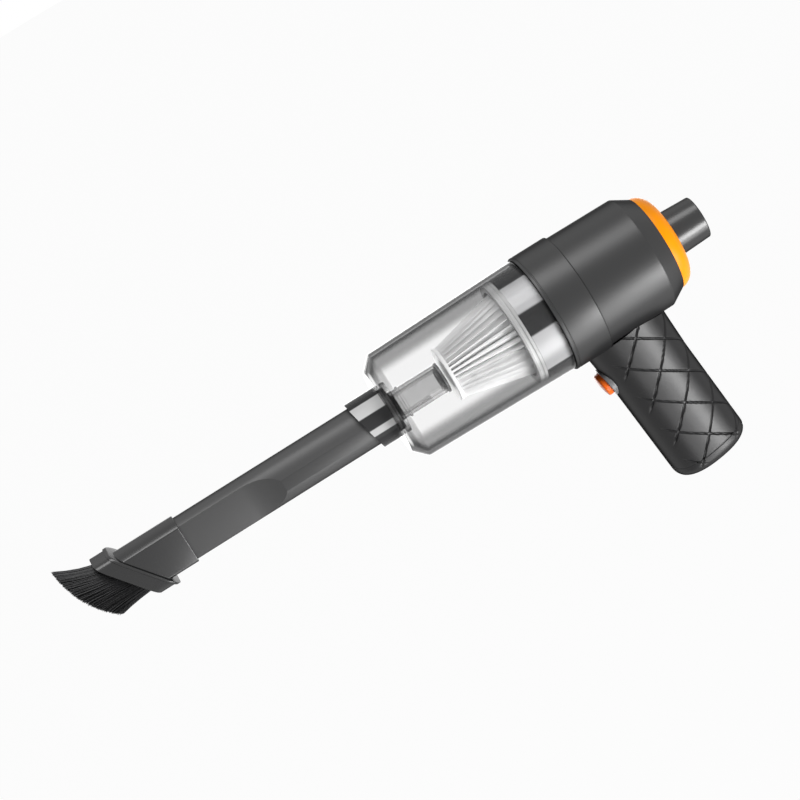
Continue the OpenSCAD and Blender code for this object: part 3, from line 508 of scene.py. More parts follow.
BEZEL_GREY = Finish("gloss_bezel_grey", "bezel_grey", (0.16, 0.16, 0.165), 0.25, specular=0.5, grain_mm=0.003)
BUTTON_ORANGE = Finish("gloss_button_orange", "button_orange", (0.84, 0.13, 0.002), 0.34, specular=0.3,
                       grain_mm=0.004, variation=0.03)
STEEL = Finish("brushed_steel", "steel", (0.30, 0.30, 0.31), 0.36, Pattern.BRUSHED, metallic=1.0,
               grain_mm=0.006)
ARMATURE_STEEL = Finish("wound_armature", "armature_steel", (0.32, 0.13, 0.05), 0.4, Pattern.BRUSHED,
                        metallic=0.8, grain_mm=0.05, grain_per_m=1800.0)
BRONZE = Finish("sintered_bronze", "bronze", (0.42, 0.24, 0.09), 0.45, metallic=0.9, grain_mm=0.02)
FAN_PLASTIC = Finish("pale_fan_plastic", "fan_plastic", (0.42, 0.43, 0.44), 0.5, grain_mm=0.01)
BOARD_GREEN = Finish("printed_board_green", "board_green", (0.012, 0.10, 0.03), 0.35, Pattern.BOARD,
                     variation=0.35, grain_mm=0.02)
CELL_BLUE = Finish("cell_wrap_blue", "cell_blue", (0.05, 0.14, 0.34), 0.3, coat=0.2, grain_mm=0.004)
LINK_NICKEL = Finish("nickel_link", "link_nickel", (0.6, 0.58, 0.54), 0.3, Pattern.BRUSHED, metallic=1.0,
                     grain_mm=0.006)
# The cup's socket, in front of 195.7 mm, has painted reflection bands in its colour.
CLEAR_CUP = ClearFinish("clear_cup_plastic", "clear_smoke", (0.99, 0.99, 0.99), (0.045, 0.045, 0.046),
                        painted_bands_from=0.1957)
DUCT_GREY = ClearFinish("smoked_duct_plastic", "tube_grey", (0.92, 0.92, 0.92), (0.27, 0.27, 0.27),
                        straight=0.11, edge=0.18)
AnyFinish = Finish | PaintedReflectionFinish | ClearFinish


class Paintbox:
    """Makes each finish once."""

    def __init__(self) -> None:
        """Starts with no material made."""
        self.made: dict[str, bpy.types.Material] = {}

    def coat(self, piece: bpy.types.Object, finish: AnyFinish) -> None:
        """Gives a piece one finish all over.

        Args:
            piece: the object.
            finish: its finish.
        """
        if finish.name not in self.made:
            self.made[finish.name] = finish.make()
        piece.data.materials.clear()
        piece.data.materials.append(self.made[finish.name])


PAINT = Paintbox()


# ------------------------------------------------------------------ mesh building


def rounded(points: Outline, segments: int = 5) -> list[tuple[float, float]]:
    """Rounds the corners of an outline.

    Args:
        points: radius, station and corner radius of each corner; a corner radius may be left out.
        segments: the number of steps round a corner.

    Returns:
        The outline's points without the corner radii.
    """
    result: list[tuple[float, float]] = []
    count = len(points)
    for i, corner in enumerate(points):
        here = Vector(corner[:2])
        size = corner[2] if len(corner) > 2 else 0.0
        if not size:
            result.append(tuple(here))
            continue
        back = Vector(points[i - 1][:2]) - here
        on = Vector(points[(i + 1) % count][:2]) - here
        half = back.angle(on) / 2
        reach = min(size / math.tan(half), 0.48 * back.length, 0.48 * on.length)
        start, end = here + back.normalized() * reach, here + on.normalized() * reach
        for k in range(segments + 1):
            t = k / segments
            result.append(tuple(start * (1 - t) ** 2 + here * 2 * t * (1 - t) + end * t ** 2))
    return result


def to_object(bm: bmesh.types.BMesh, name: str, place: Matrix | None = None) -> bpy.types.Object:
    """Turns a bmesh in millimetres into a smooth-shaded object in metres.

    Args:
        bm: the mesh, which is freed.
        name: the object's name.
        place: where the mesh goes, in millimetres.

    Returns:
        The object, at the origin.
    """
    bmesh.ops.transform(bm, matrix=Matrix.Scale(MM, 4) @ (place or Matrix.Identity(4)), verts=bm.verts)
    mesh = bpy.data.meshes.new(name)
    bm.to_mesh(mesh)
    bm.free()
    return shaded(bpy.data.objects.new(name, mesh))


def shaded(piece: bpy.types.Object) -> bpy.types.Object:
    """Links an object and smooths its shading between sharp edges.

    Args:
        piece: the object.

    Returns:
        The object.
    """
    if piece.name not in bpy.context.scene.collection.objects:
        bpy.context.scene.collection.objects.link(piece)
    piece.data.polygons.foreach_set("use_smooth", [True] * len(piece.data.polygons))
    piece.data.set_sharp_from_angle(angle=SHARP_ANGLE)
    return piece


def turned(outline: Outline, steps: int = 160) -> bmesh.types.BMesh:
    """Spins an outline about the tool's axis.

    Args:
        outline: radius and station of each point, in order; two points at radius 0 leave the axis open.
        steps: the number of steps round.

    Returns:
        The closed mesh, with stations running to -X.
    """
    bm = bmesh.new()
    verts = [bm.verts.new((-station, 0.0, radius)) for radius, station in outline]
    edges = [bm.edges.new((a, b)) for a, b in zip(verts, verts[1:] + verts[:1])
             if max(abs(a.co.z), abs(b.co.z)) > 1e-6]
    bmesh.ops.spin(bm, geom=verts + edges, cent=(0, 0, 0), axis=(1, 0, 0), angle=math.tau, steps=steps,
                   use_merge=True)
    bmesh.ops.remove_doubles(bm, verts=bm.verts, dist=1e-4)
    bmesh.ops.recalc_face_normals(bm, faces=bm.faces)
    return bm


def cut_clean(bm: bmesh.types.BMesh, point: Vector, normal: Vector) -> None:
    """Cuts away what lies beyond a plane and closes a tube's wall again.

    Args:
        bm: the mesh of a tube.
        point: a point on the plane.
        normal: the plane's normal, towards what goes.
    """
    cut = bmesh.ops.bisect_plane(bm, geom=bm.verts[:] + bm.edges[:] + bm.faces[:], dist=1e-5,
                                 plane_co=point, plane_no=normal, clear_outer=True)
    rim = [e for e in cut["geom_cut"] if isinstance(e, bmesh.types.BMEdge) and e.is_boundary]
    bmesh.ops.bridge_loops(bm, edges=rim)
    bmesh.ops.recalc_face_normals(bm, faces=bm.faces)


def softened(node: str, name: str, width: float, segments: int) -> bpy.types.Object:
    """Copies a CAD node, joins its triangles and rounds its sharp edges.

    Args:
        node: the CAD node.
        name: the new piece's name.
        width: the rounding's width.
        segments: the rounding's steps.

    Returns:
        The new piece.
    """
    bm = bmesh.new()
    bm.from_mesh(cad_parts[node].data)
    bmesh.ops.scale(bm, vec=(1 / MM,) * 3, verts=bm.verts)
    bmesh.ops.remove_doubles(bm, verts=bm.verts, dist=1e-3)
    bmesh.ops.dissolve_limit(bm, angle_limit=math.radians(0.5), verts=bm.verts, edges=bm.edges)
    sharp = [e for e in bm.edges if e.is_manifold and e.calc_face_angle(0.0) > SHARP_ANGLE]
    bmesh.ops.bevel(bm, geom=sharp, offset=width, offset_type="OFFSET", segments=segments, profile=0.5,
                    affect="EDGES", clamp_overlap=True, material=-1)
    return to_object(bm, name)


def carved(piece: bpy.types.Object, cutters: Iterable[bpy.types.Object]) -> bpy.types.Object:
    """Cuts solids out of a piece for good.

    Args:
        piece: the piece.
        cutters: the solids, which are deleted.

    Returns:
        The piece with its new mesh.
    """
    cutters = list(cutters)
    for cutter in cutters:
        cut = piece.modifiers.new("cut", "BOOLEAN")
        cut.operation = "DIFFERENCE"
        cut.solver = "MANIFOLD"
        cut.object = cutter
    bpy.context.view_layer.update()
    result = bpy.data.meshes.new_from_object(piece.evaluated_get(bpy.context.evaluated_depsgraph_get()))
    piece.modifiers.clear()
    piece.data = result
    for cutter in cutters:
        bpy.data.objects.remove(cutter)
    return shaded(piece)


def plug(radius: float, low: float, high: float, place: Matrix) -> bpy.types.Object:
    """Makes a round cutter.

    Args:
        radius: its radius.
        low: where it starts on its X axis.
        high: where it ends.
        place: its place, in millimetres.

    Returns:
        The cutter.
    """
    return to_object(turned([(0, -low), (radius, -low), (radius, -high), (0, -high)], 64), "cutter", place)


def oval(a: float, b: float, turn: float) -> tuple[float, float]:
    """Gives a point on the squarish oval of the grip and the brush.

    Args:
        a: half the oval's first length.
        b: half its second length.
        turn: the angle round it, from the first length's end.

    Returns:
        The point's two positions.
    """
    power = 2 / ROUNDNESS
    c, s = math.cos(turn), math.sin(turn)
    return (a * math.copysign(abs(c) ** power, c), b * math.copysign(abs(s) ** power, s))


class Assembly:
    """A group of pieces that ride on one body."""

    body: Body

    def keep(self, piece: bpy.types.Object, finish: AnyFinish, *nodes: str, body: Body | None = None) -> None:
        """Finishes a new piece, gives it its body and hides the CAD nodes that it stands for.

        Args:
            piece: the new piece.
            finish: its finish.
            nodes: the CAD nodes that it stands for.
            body: its body, where it isn't the assembly's own.
        """
        PAINT.coat(piece, finish)
        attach(piece, (body or self.body).value)
        if nodes:
            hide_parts(*nodes)
        log.info("%s rides on %s: %d faces", piece.name, (body or self.body).value, len(piece.data.polygons))

    def turn(self, name: str, finish: AnyFinish, node: str, outline: Outline, corner: int = 5,
             steps: int = 160, place: Matrix | None = None, body: Body | None = None) -> None:
        """Turns a piece from its outline and keeps it in a CAD node's stead.

        Args:
            name: the piece's name.
            finish: its finish.
            node: the CAD node that it stands for.
            outline: radius, station and corner radius of each corner.
            corner: the number of steps round a corner.
            steps: the number of steps round the axis.
            place: its place, in millimetres.
            body: its body, where it isn't the assembly's own.
        """
        self.keep(to_object(turned(rounded(outline, corner), steps), name, place), finish, node, body=body)

    def soften(self, name: str, finish: AnyFinish, node: str, width: float, segments: int = 2) -> None:
        """Rounds the edges of a CAD node's copy and keeps it in the node's stead.

        Args:
            name: the piece's name.
            finish: its finish.
            node: the CAD node that it stands for.
            width: the rounding's width.
            segments: the rounding's steps.
        """
        self.keep(softened(node, name, width, segments), finish, node)

    @staticmethod
    def paint(finish: AnyFinish, *nodes: str) -> None:
        """Gives CAD nodes that stay a finish.

        Args:
            finish: the finish.
            nodes: the nodes' names.
        """
        for node in nodes:
            PAINT.coat(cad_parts[node], finish)
            log.info("%s is kept as %s", node, finish.name)


# ------------------------------------------------------------------ barrel


@dataclass
class Barrel(Assembly):
    """The barrel, its lock collar, the orange ring and the blower tube."""

    rear_s: float = 27.5
    edge_s: float = 36.6
    collar_s: float = 76.6
    neck_s: float = 88.0
    front_s: float = 98.6
    ring_s: float = 19.4
    wall: float = 2.4
    radius: float = 33.0
    rear_radius: float = 32.6
    ring_radius: float = 27.3
    ring_face: float = 20.5
    collar_radius: float = 34.2
    collar_bore: float = 32.1
    groove_depth: float = 0.25
    floor: float = 2.5
    flange: float = 2.0
    tube_bore: float = 10.2
    tube_root: float = 12.9
    tube_hole: float = 13.1
    body: Body = Body.MAIN

    def shell(self) -> None:
        """Turns the barrel's shell with its rear chamfer and front neck."""
        neck = self.collar_bore - 0.1
        inner = self.rear_radius - self.wall
        inside = self.rear_s + self.floor
        outline = [
            (self.tube_hole, self.rear_s), (self.ring_radius, self.rear_s, 0.3),
            (self.rear_radius, self.edge_s, 2.2), (self.radius, self.collar_s, 0.4), (neck, self.collar_s),
            (neck, self.neck_s, 0.3), (neck - self.wall, self.neck_s), (neck - self.wall, self.collar_s + 2),
            (inner, self.collar_s + 1), (inner, self.edge_s + 1), (self.ring_radius - 1.6, inside),
            (self.tube_hole, inside)]
        self.turn("barrel_cover", BODY_GREY, "barrel_shell", outline)

    def collar(self) -> None:
        """Turns the lock collar, with one shallow groove round it near the front."""
        r, front = self.collar_radius, self.front_s
        low = r - self.groove_depth
        outline = [
            (self.collar_bore, self.collar_s), (r, self.collar_s, 0.7), (r, front - 2.6, 0.1),
            (low, front - 2.3, 0.1), (low, front - 1.9, 0.1), (r, front - 1.6, 0.1), (r, front, 0.6),
            (self.collar_bore, front)]
        self.turn("collar_ring", BODY_GREY, "lock_collar", outline, corner=4)

    def ring(self) -> None:
        """Turns the orange trim ring with its rounded shoulder."""
        face, length = self.ring_face, self.rear_s - self.ring_s
        bulge = [(face + (self.ring_radius - face) * math.sin(t),
                  self.ring_s + length * ((1 - math.cos(t)) * 0.6 + 0.4 * t / (math.pi / 2)))
                 for t in (math.radians(5 * k) for k in range(19))]
        bore, wall = self.tube_hole, 2.0
        outline = [
            (bore, self.ring_s), *bulge, (self.ring_radius - wall, self.rear_s),
            (face - wall, self.ring_s + wall), (bore + wall, self.ring_s + wall), (bore + wall, self.rear_s),
            (bore, self.rear_s)]
        self.turn("orange_trim", TRIM_ORANGE, "trim_ring", outline)

    def tube(self) -> None:
        """Turns the blower tube with its rounded mouth and inner flange."""
        bore, root, seat = self.tube_bore, self.tube_root, self.rear_s + self.floor
        outline = [
            (bore, 0, 0.7), (root - 0.8, 0, 0.8), (root, self.ring_s), (root, seat), (root + 4, seat),
            (root + 4, seat + self.flange), (bore, seat + self.flange)]
        self.turn("blower_tube", TUBE_GREY, "outlet_tube", outline, steps=128)

    def inside(self) -> None:
        """Finishes the fan and the motor, which show through the tube and with the cup off."""
        self.paint(DARK_PLASTIC, "inlet_plate", "motor_end_cap")
        self.paint(FAN_PLASTIC, "fan_housing", "diffuser_plate", "impeller")
        self.paint(STEEL, "motor_shaft", "motor_can")
        self.paint(ARMATURE_STEEL, "armature")
        self.paint(BRONZE, "front_bearing", "rear_bearing")
        self.paint(SEAL_RUBBER, "motor_mount")

    def build(self) -> None:
        """Builds the whole sub-assembly."""
        self.shell()
        self.collar()
        self.ring()
        self.tube()
        self.inside()


# ------------------------------------------------------------------ filter and cup


@dataclass
class Filter(Assembly):
    """The filter that plugs on to the barrel's spigot."""

    band_s: float = 92.0
    seal_s: float = 114.0
    cone_s: float = 118.8
    nose_s: float = 156.8
    radius: float = 30.0
    sleeve_bore: float = 24.1
    cone_bore: float = 18.8
    seal_bore: float = 25.8
    nose_radius: float = 15.6
    nose_len: float = 2.2
    body: Body = Body.FILTER

    def band(self) -> None:
        """Turns the filter's base band with its flange and inner sleeve."""
        r, wall, sleeve, bore = self.radius, 1.6, self.sleeve_bore, self.cone_bore
        outline = [
            (r - wall, self.band_s), (r, self.band_s, 0.3), (r, self.seal_s, 0.4), (bore, self.seal_s),
            (bore, self.seal_s - wall), (sleeve, self.seal_s - wall), (sleeve, self.band_s),
            (sleeve + wall, self.band_s), (sleeve + wall, self.seal_s - wall), (r - wall, self.seal_s - wall)]
        self.turn("filter_band", SMOKED_BAND_WITH_PAINTED_REFLECTIONS, "filter_frame", outline)

    def seal(self) -> None:
        """Turns the soft ring in front of the band, with two fine lips."""
        r, back, front, dip = self.radius + 0.1, self.seal_s, self.cone_s, 0.5
        outline = [
            (self.seal_bore, back), (r, back, 0.4), (r, back + 1.5, 0.2), (r - dip, back + 1.9, 0.2),
            (r - dip, front - 1.9, 0.2), (r, front - 1.5, 0.2), (r, front, 0.4), (self.seal_bore, front)]
        self.turn("seal_ring", SEAL_RUBBER, "filter_seal", outline, corner=3)

    def nose(self) -> None:
        """Turns the cap on the cone's front."""
        r, front = self.nose_radius, self.nose_s + self.nose_len
        outline = [(0, self.nose_s), (r, self.nose_s), (r, front, 0.8), (0, front)]
        self.turn("cone_cap", WHITE_PLASTIC, "filter_nose", outline, steps=96)

    def build(self) -> None:
        """Builds the whole sub-assembly."""
        self.band()
        self.seal()
        self.nose()
        self.paint(WHITE_PLASTIC, "filter_cage")
        self.paint(FILTER_PAPER, "filter_media")


@dataclass
class DustCup(Assembly):
    """The clear cup with its nozzle socket and the duct inside it."""

    lip_s: float = 90.9
    rear_s: float = 98.9
    edge_s: float = 188.6
    face_s: float = 195.6
    socket_s: float = 213.3
    floor_s: float = 191.4
    rear_radius: float = 33.0
    front_radius: float = 31.2
    face_radius: float = 24.0
    lip_radius: float = 31.8
    lip_bore: float = 30.7
    socket_bore: float = 12.6
    socket_wall: float = 2.4
    wall: float = 2.0
    slant: float = 13.7
    duct_radius: float = 8.2
    body: Body = Body.CUP

    def shell(self) -> None:
        """Turns the cup and its socket, and cuts the socket's rim at a slant."""
        socket, hole, wall = self.socket_bore + self.socket_wall, self.duct_radius + 0.2, self.wall
        floor, inner_face = self.floor_s - wall, self.face_s - 2.2
        outline = [
            (self.lip_bore, self.lip_s), (self.lip_radius, self.lip_s, 0.3), (self.lip_radius, self.rear_s),
            (self.rear_radius, self.rear_s, 0.4), (self.front_radius, self.edge_s, 2.0),
            (self.face_radius, self.face_s, 1.6), (socket, self.face_s, 0.6), (socket, self.socket_s + 4),
            (self.socket_bore, self.socket_s + 4), (self.socket_bore, self.floor_s), (hole, self.floor_s),
            (hole, floor), (socket, floor, 0.6), (socket, inner_face),
            (self.face_radius - 1, inner_face, 0.8), (self.front_radius - wall, self.edge_s - 0.4, 1.4),
            (self.rear_radius - wall, self.rear_s + 1.2), (self.lip_bore, self.rear_s)]
        bm = turned(rounded(outline), 192)
        tilt = math.radians(self.slant)
        cut_clean(bm, Vector((-self.socket_s, 0, socket)), Vector((-math.cos(tilt), 0, -math.sin(tilt))))
        self.keep(to_object(bm, "clear_cup"), CLEAR_CUP, "dust_cup")

    def build(self) -> None:
        """Builds the whole sub-assembly."""
        self.shell()
        self.soften("dust_duct", DUCT_GREY, "inlet_duct", 0.15)
        self.soften("dust_duct_cap", BEZEL_GREY, "duct_cap", 0.3)
        self.paint(SEAL_RUBBER, "cup_seal")


# ------------------------------------------------------------------ nozzle and brush


@dataclass
class Nozzle(Assembly):
    """The crevice nozzle."""

    body: Body = Body.NOZZLE

    def build(self) -> None:
        """Rounds the edges of the nozzle's cut solid."""
        self.soften("crevice_tube", NOZZLE_GREY, "crevice_nozzle", 0.35, 3)


@dataclass
class Brush(Assembly):
    """The slanted brush head and its strands."""

    root_s: float = 353.2
    slant: float = 35.5
    reach: float = 28.8
    flare: float = 9.5
    droop: float = 3.6
    curve: float = 1.6
    pinch: float = 0.25
    crown: float = 0.135
    height: float = 28.0
    thickness: float = 18.0
    band: float = 3.5
    tufts: int = 34
    strands: int = 62
    strand_radius: float = 0.22
    seed: int = 4
    outer_margin: float = 0.3
    inner_margin: float = 0.2
    tuft_spread: float = 0.6
    wander: tuple[float, float] = (0.25, 0.3)
    lengths: tuple[float, float] = (0.95, 0.995)
    body: Body = Body.BRUSH

    def _path(self, z: float, y: float, length: float,
              lean: tuple[float, float]) -> Callable[[float], Vector]:
        """Gives a strand's course.

        Args:
            z: the root's height.
            y: the root's side position.
            length: the strand's length as a part of the full one.
            lean: how far the tip wanders in height and to the side.

        Returns:
            A function from a fraction of the strand to its point.
        """
        up = max(0.0, min(1.0, z / self.height + 0.5))
        spread = self.flare * up ** 2 - self.droop * (1 - up) ** 2
        run = self.reach * length * (1 - self.crown * (1 - math.sin(math.pi * up)))
        slope = math.tan(math.radians(self.slant))

        def course(f: float) -> Vector:
            """Returns the point at a fraction of the strand."""
            return Vector((-(self.root_s + slope * z + run * f), y * (1 - self.pinch * f) + lean[1] * f * f,
                           z + spread * f ** self.curve + lean[0] * f * f))

        return course

    @staticmethod
    def _strand() -> bpy.types.Mesh:
        """Makes the straight strand that is planted again and again.

        Returns:
            The strand, 1 long and 1 in radius.
        """
        template = bmesh.new()
        bmesh.ops.create_cone(template, cap_ends=True, segments=4, radius1=1.0, radius2=0.6, depth=1.0)
        walls = [e for e in template.edges if abs(e.verts[0].co.z - e.verts[1].co.z) > 0.5]
        bmesh.ops.subdivide_edges(template, edges=walls, cuts=3)
        bmesh.ops.translate(template, vec=(0, 0, 0.5), verts=template.verts)
        strand = bpy.data.meshes.new("strand")
        template.to_mesh(strand)
        template.free()
        return strand

    def bristles(self) -> None:
        """Plants the strands in tufts round the sleeve's oval."""
        rng = random.Random(self.seed)
        strand = self._strand()
        bm = bmesh.new()
        for k in range(self.tufts):
            turn = math.tau * (k + 0.5) / self.tufts
            for _ in range(self.strands):
                depth = rng.uniform(self.outer_margin, self.band - self.inner_margin)
                z, y = oval(self.height / 2 - depth, self.thickness / 2 - depth,
                            turn + rng.gauss(0, self.tuft_spread) * math.tau / self.tufts / 2)
                lean = (rng.gauss(0, self.wander[0]), rng.gauss(0, self.wander[1]))
                self._plant(bm, strand, self._path(z, y, rng.uniform(*self.lengths), lean))
        bpy.data.meshes.remove(strand)
        self.keep(to_object(bm, "brush_strands"), BRISTLE_BLACK, "brush_bristles")

    def _plant(self, bm: bmesh.types.BMesh, strand: bpy.types.Mesh,
               course: Callable[[float], Vector]) -> None:
        """Adds one strand bent along its course.

        Args:
            bm: the brush's mesh.
            strand: the straight strand, 1 long and 1 in radius.
            course: the strand's course.
        """
        before = len(bm.verts)
        bm.from_mesh(strand)
        bm.verts.ensure_lookup_table()
        for vert in bm.verts[before:]:
            x, y, f = vert.co
            centre, ahead = course(f), course(f + 0.01)
            turn = Vector((0, 0, 1)).rotation_difference(ahead - centre)
            vert.co = centre + turn @ Vector((x * self.strand_radius, y * self.strand_radius, 0))

    def build(self) -> None:
        """Builds the whole sub-assembly."""
        self.soften("brush_socket", BRUSH_GREY, "brush_sleeve", 0.45, 3)
        self.paint(DARK_PLASTIC, "tuft_strip")
        self.bristles()


# ------------------------------------------------------------------ grip


@dataclass
class Grip(Assembly):
    """The handle: two grooved halves, the end cap, the screws and what is inside."""

    axis_s: float = 69.2
    lean: float = 7.7
    half_depth: float = 22.9
    half_width: float = 18.2
    top: float = 28.0
    seam_h: float = 114.0
    end_h: float = 122.9
    wall: float = 1.9
    pitch: float = 23.8
    diamond: float = 12.7
    drift: float = 0.022
    first_crossing: float = 32.6
    groove_half: float = 0.6
    groove_depth: float = 0.7
    groove_round: float = 0.7
    groove_low: float = 118.5
    groove_reach: float = 18.5
    groove_fade: float = 4.0
    seam_depth: float = 0.2
    seam_soft: float = 0.5
    rim_depth: float = 0.12
    rim_soft: float = 0.4
    cap_lip: float = 2.6
    cap_corner: float = 6.0
    cap_dome: float = 0.8
    cap_step: float = 0.2
    cap_steps: int = 360
    dome_rings: tuple[tuple[float, float], ...] = ((0.35, 9.0), (0.0, 12.5))
    port_clear: float = 12.0
    port_size: tuple[float, float, float] = (10.0, 9.2, 3.4)
    port_corner: float = 1.2
    port_down: float = 3.5
    port_in: float = 3.0
    light_side: float = 7.5
    light_radius: float = 1.5
    light_in: float = 8.0
    light_out: float = 3.0
    screw_spots: tuple[tuple[float, float], ...] = ((12.0, 39.5), (-13.0, 39.5), (14.0, 53.5))
    screw_hole: float = 2.6
    screw_cut: tuple[float, float] = (9.0, 25.0)
    button_gap: float = 0.05
    button_cut: tuple[float, float] = (-6.0, 10.0)
    round_steps: int = 180
    tall_steps: int = 230
    saddle: float = 33.05
    saddle_low: float = 60.0
    collar_saddle: float = 34.25
    collar_s: float = 76.6
    body: Body = Body.MAIN

    def __post_init__(self) -> None:
        """Measures the oval's side, as the grooves run round it."""
        steps = 48
        self.turns = [math.radians(-90 + 90 * i / steps) for i in range(steps + 1)]
        side = [Vector(oval(self.half_depth, self.half_width, turn)) for turn in self.turns]
        self.runs = [0.0]
        for a, b in zip(side, side[1:]):
            self.runs.append(self.runs[-1] + (b - a).length)
        self.quarter = self.runs[-1]

    @property
    def place(self) -> Matrix:
        """The handle's frame: Z up along it and X to the rear."""
        return Matrix.Translation((-self.axis_s, 0, 0)) @ Matrix.Rotation(math.radians(-self.lean), 4, "Y")

    def spot(self, rear: float, side: float, down: float) -> Matrix:
        """Returns a place so far to the rear of the handle's middle, to its side and down it."""
        return self.place @ Matrix.Translation((rear, side, -down))

    def halves(self, h: float) -> tuple[float, float]:
        """Measures the oval at a distance down the handle.

        Args:
            h: the distance.

        Returns:
            Half its depth and half its width.
        """
        levels = [(self.top, 1.4, 0.6), (45.0, 0.6, 0.3), (61.0, 0.0, 0.0), (self.seam_h, 0.0, -0.2)]
        h = max(levels[0][0], min(levels[-1][0], h))
        i = max(1, bisect_left([level[0] for level in levels], h))
        low, high = levels[i - 1], levels[min(i, len(levels) - 1)]
        t = (h - low[0]) / (high[0] - low[0])
        a = self.half_depth + low[1] + (high[1] - low[1]) * t
        b = self.half_width + low[2] + (high[2] - low[2]) * t
        return a, b

    def _turn_at(self, u: float) -> float:
        """Finds the oval's angle at a distance round it.

        Args:
            u: the distance from the middle of the left side.

        Returns:
            The angle, from the rear.
        """
        run = min(abs(u), self.quarter)
        i = max(1, bisect_left(self.runs, run))
        t = (run - self.runs[i - 1]) / (self.runs[i] - self.runs[i - 1])
        turn = self.turns[i - 1] + (self.turns[i] - self.turns[i - 1]) * t
        return turn if u >= 0 else -math.pi - turn

    def _round_at(self, turn: float) -> float:
        """Finds the distance round the oval at an angle of it.

        Args:
            turn: the angle, from the rear.

        Returns:
            The distance from the middle of the nearer side, positive to the rear.
        """
        ahead = math.copysign(1.0, math.cos(turn))
        part = (math.asin(min(1.0, abs(math.cos(turn)))) / (math.pi / 2)) * (len(self.runs) - 1)
        i = min(int(part), len(self.runs) - 2)
        return ahead * (self.runs[i] + (self.runs[i + 1] - self.runs[i]) * (part - i))

    def _groove(self, u: float, h: float) -> float:
        """Returns how deep the grooves are at a place on the skin.

        Args:
            u: the distance round from the middle of the side.
            h: the distance down the handle.

        Returns:
            The depth.
        """
        if u < -self.groove_reach or h > self.groove_low:
            return 0.0
        slope = self.pitch / 2 / self.diamond
        along = math.hypot(1.0, slope)
        depth = 0.0
        for sign in (1.0, -1.0):
            offset = (h - self.first_crossing - sign * slope * (u - self.drift * h)) / self.pitch
            away = abs(offset - round(offset)) * self.pitch / along
            depth = max(depth, max(0.0, 1 - (away / self.groove_half) ** 2))
        fade = min(1.0, (u + self.groove_reach) / self.groove_fade, (self.groove_low - h) / self.groove_fade)
        return self.groove_depth * depth ** self.groove_round * fade

    def _skin(self, u: float, h: float, inset: float) -> Vector:
        """Returns a point on the handle's skin, in the handle's frame.

        Args:
            u: the distance round from the middle of the left side.
            h: the distance down the handle.
            inset: how far below the skin the point lies.

        Returns:
            The point.
        """
        a, b = self.halves(h)
        return Vector((*oval(a - inset, b - inset, self._turn_at(u)), -h))

    def _top_edge(self, u: float) -> float:
        """Finds where the skin meets the barrel or the collar, by halving.

        Args:
            u: the distance round from the middle of the left side.

        Returns:
            The distance down the handle.
        """
        place, low, high = self.place, self.top, self.saddle_low
        for _ in range(30):
            mid = (low + high) / 2
            point = place @ self._skin(u, mid, 0)
            limit = self.collar_saddle if -point.x > self.collar_s - 0.2 else self.saddle
            low, high = (mid, high) if math.hypot(point.y, point.z) < limit else (low, mid)
        return high

    def half(self, name: str, mirrored: bool) -> bpy.types.Object:
        """Shapes one grooved half from a grid.

        Args:
            name: the piece's name.
            mirrored: whether it is the right half.

        Returns:
            The half, before its holes are cut.
        """
        bm = bmesh.new()
        bmesh.ops.create_grid(bm, x_segments=self.round_steps, y_segments=self.tall_steps, size=1.0)
        edges: dict[float, float] = {}
        for vert in bm.verts:
            across, down = vert.co.x, (vert.co.y + 1) / 2
            u = across * self.quarter
            if u not in edges:
                edges[u] = self._top_edge(u)
            h = edges[u] + (self.seam_h - edges[u]) * down
            seam = self.seam_depth * max(0.0, 1 - (self.quarter - abs(u)) / self.seam_soft)
            rim = self.rim_depth * max(0.0, 1 - (self.seam_h - h) / self.rim_soft)
            vert.co = self._skin(u, h, self._groove(u, h) + max(seam, rim))
        bmesh.ops.recalc_face_normals(bm, faces=bm.faces)
        if sum(face.normal.y for face in bm.faces) >= 0:
            bmesh.ops.reverse_faces(bm, faces=bm.faces)
        bmesh.ops.solidify(bm, geom=bm.faces[:], thickness=self.wall)
        if mirrored:
            bmesh.ops.scale(bm, vec=(1, -1, 1), verts=bm.verts)
            bmesh.ops.reverse_faces(bm, faces=bm.faces)
        return to_object(bm, name, self.place)

    def skins(self, button: "Button") -> None:
        """Builds both halves and cuts the button's hole and the screw holes.

        Args:
            button: the button, which gives the hole's place and size.
        """
        sideways = Matrix.Rotation(math.radians(90), 4, "Z")
        sides = (("grip_skin_left", "grip_left", False), ("grip_skin_right", "grip_right", True))
        for name, node, mirrored in sides:
            piece = self.half(name, mirrored)
            cutters = [plug(button.bezel_radius + self.button_gap, *self.button_cut, button.place)]
            if mirrored:
                cutters += [plug(self.screw_hole, *self.screw_cut, self.spot(rear, 0, down) @ sideways)
                            for rear, down in self.screw_spots]
            self.keep(carved(piece, cutters), GRIP_BLACK, node)

    def _cap_rings(self) -> list[tuple[float, float]]:
        """Lists the end cap's rings, from the seam to the end.

        Returns:
            How far down the handle each ring lies, and how far below the skin.
        """
        corner, dome = self.cap_corner, self.cap_dome
        top, side = self.seam_h + self.cap_step, self.end_h - dome - corner
        rings = [(self.seam_h, self.cap_lip), (self.seam_h, self.rim_depth), (top, 0.0)]
        rings += [(top + (side - top) * k / 4, 0.0) for k in range(1, 5)]
        for turn in (math.radians(5.0 * k) for k in range(1, 19)):
            rings.append((side + corner * math.sin(turn), corner * (1 - math.cos(turn))))
        return rings + [(self.end_h - dome * part, inset) for part, inset in self.dome_rings]

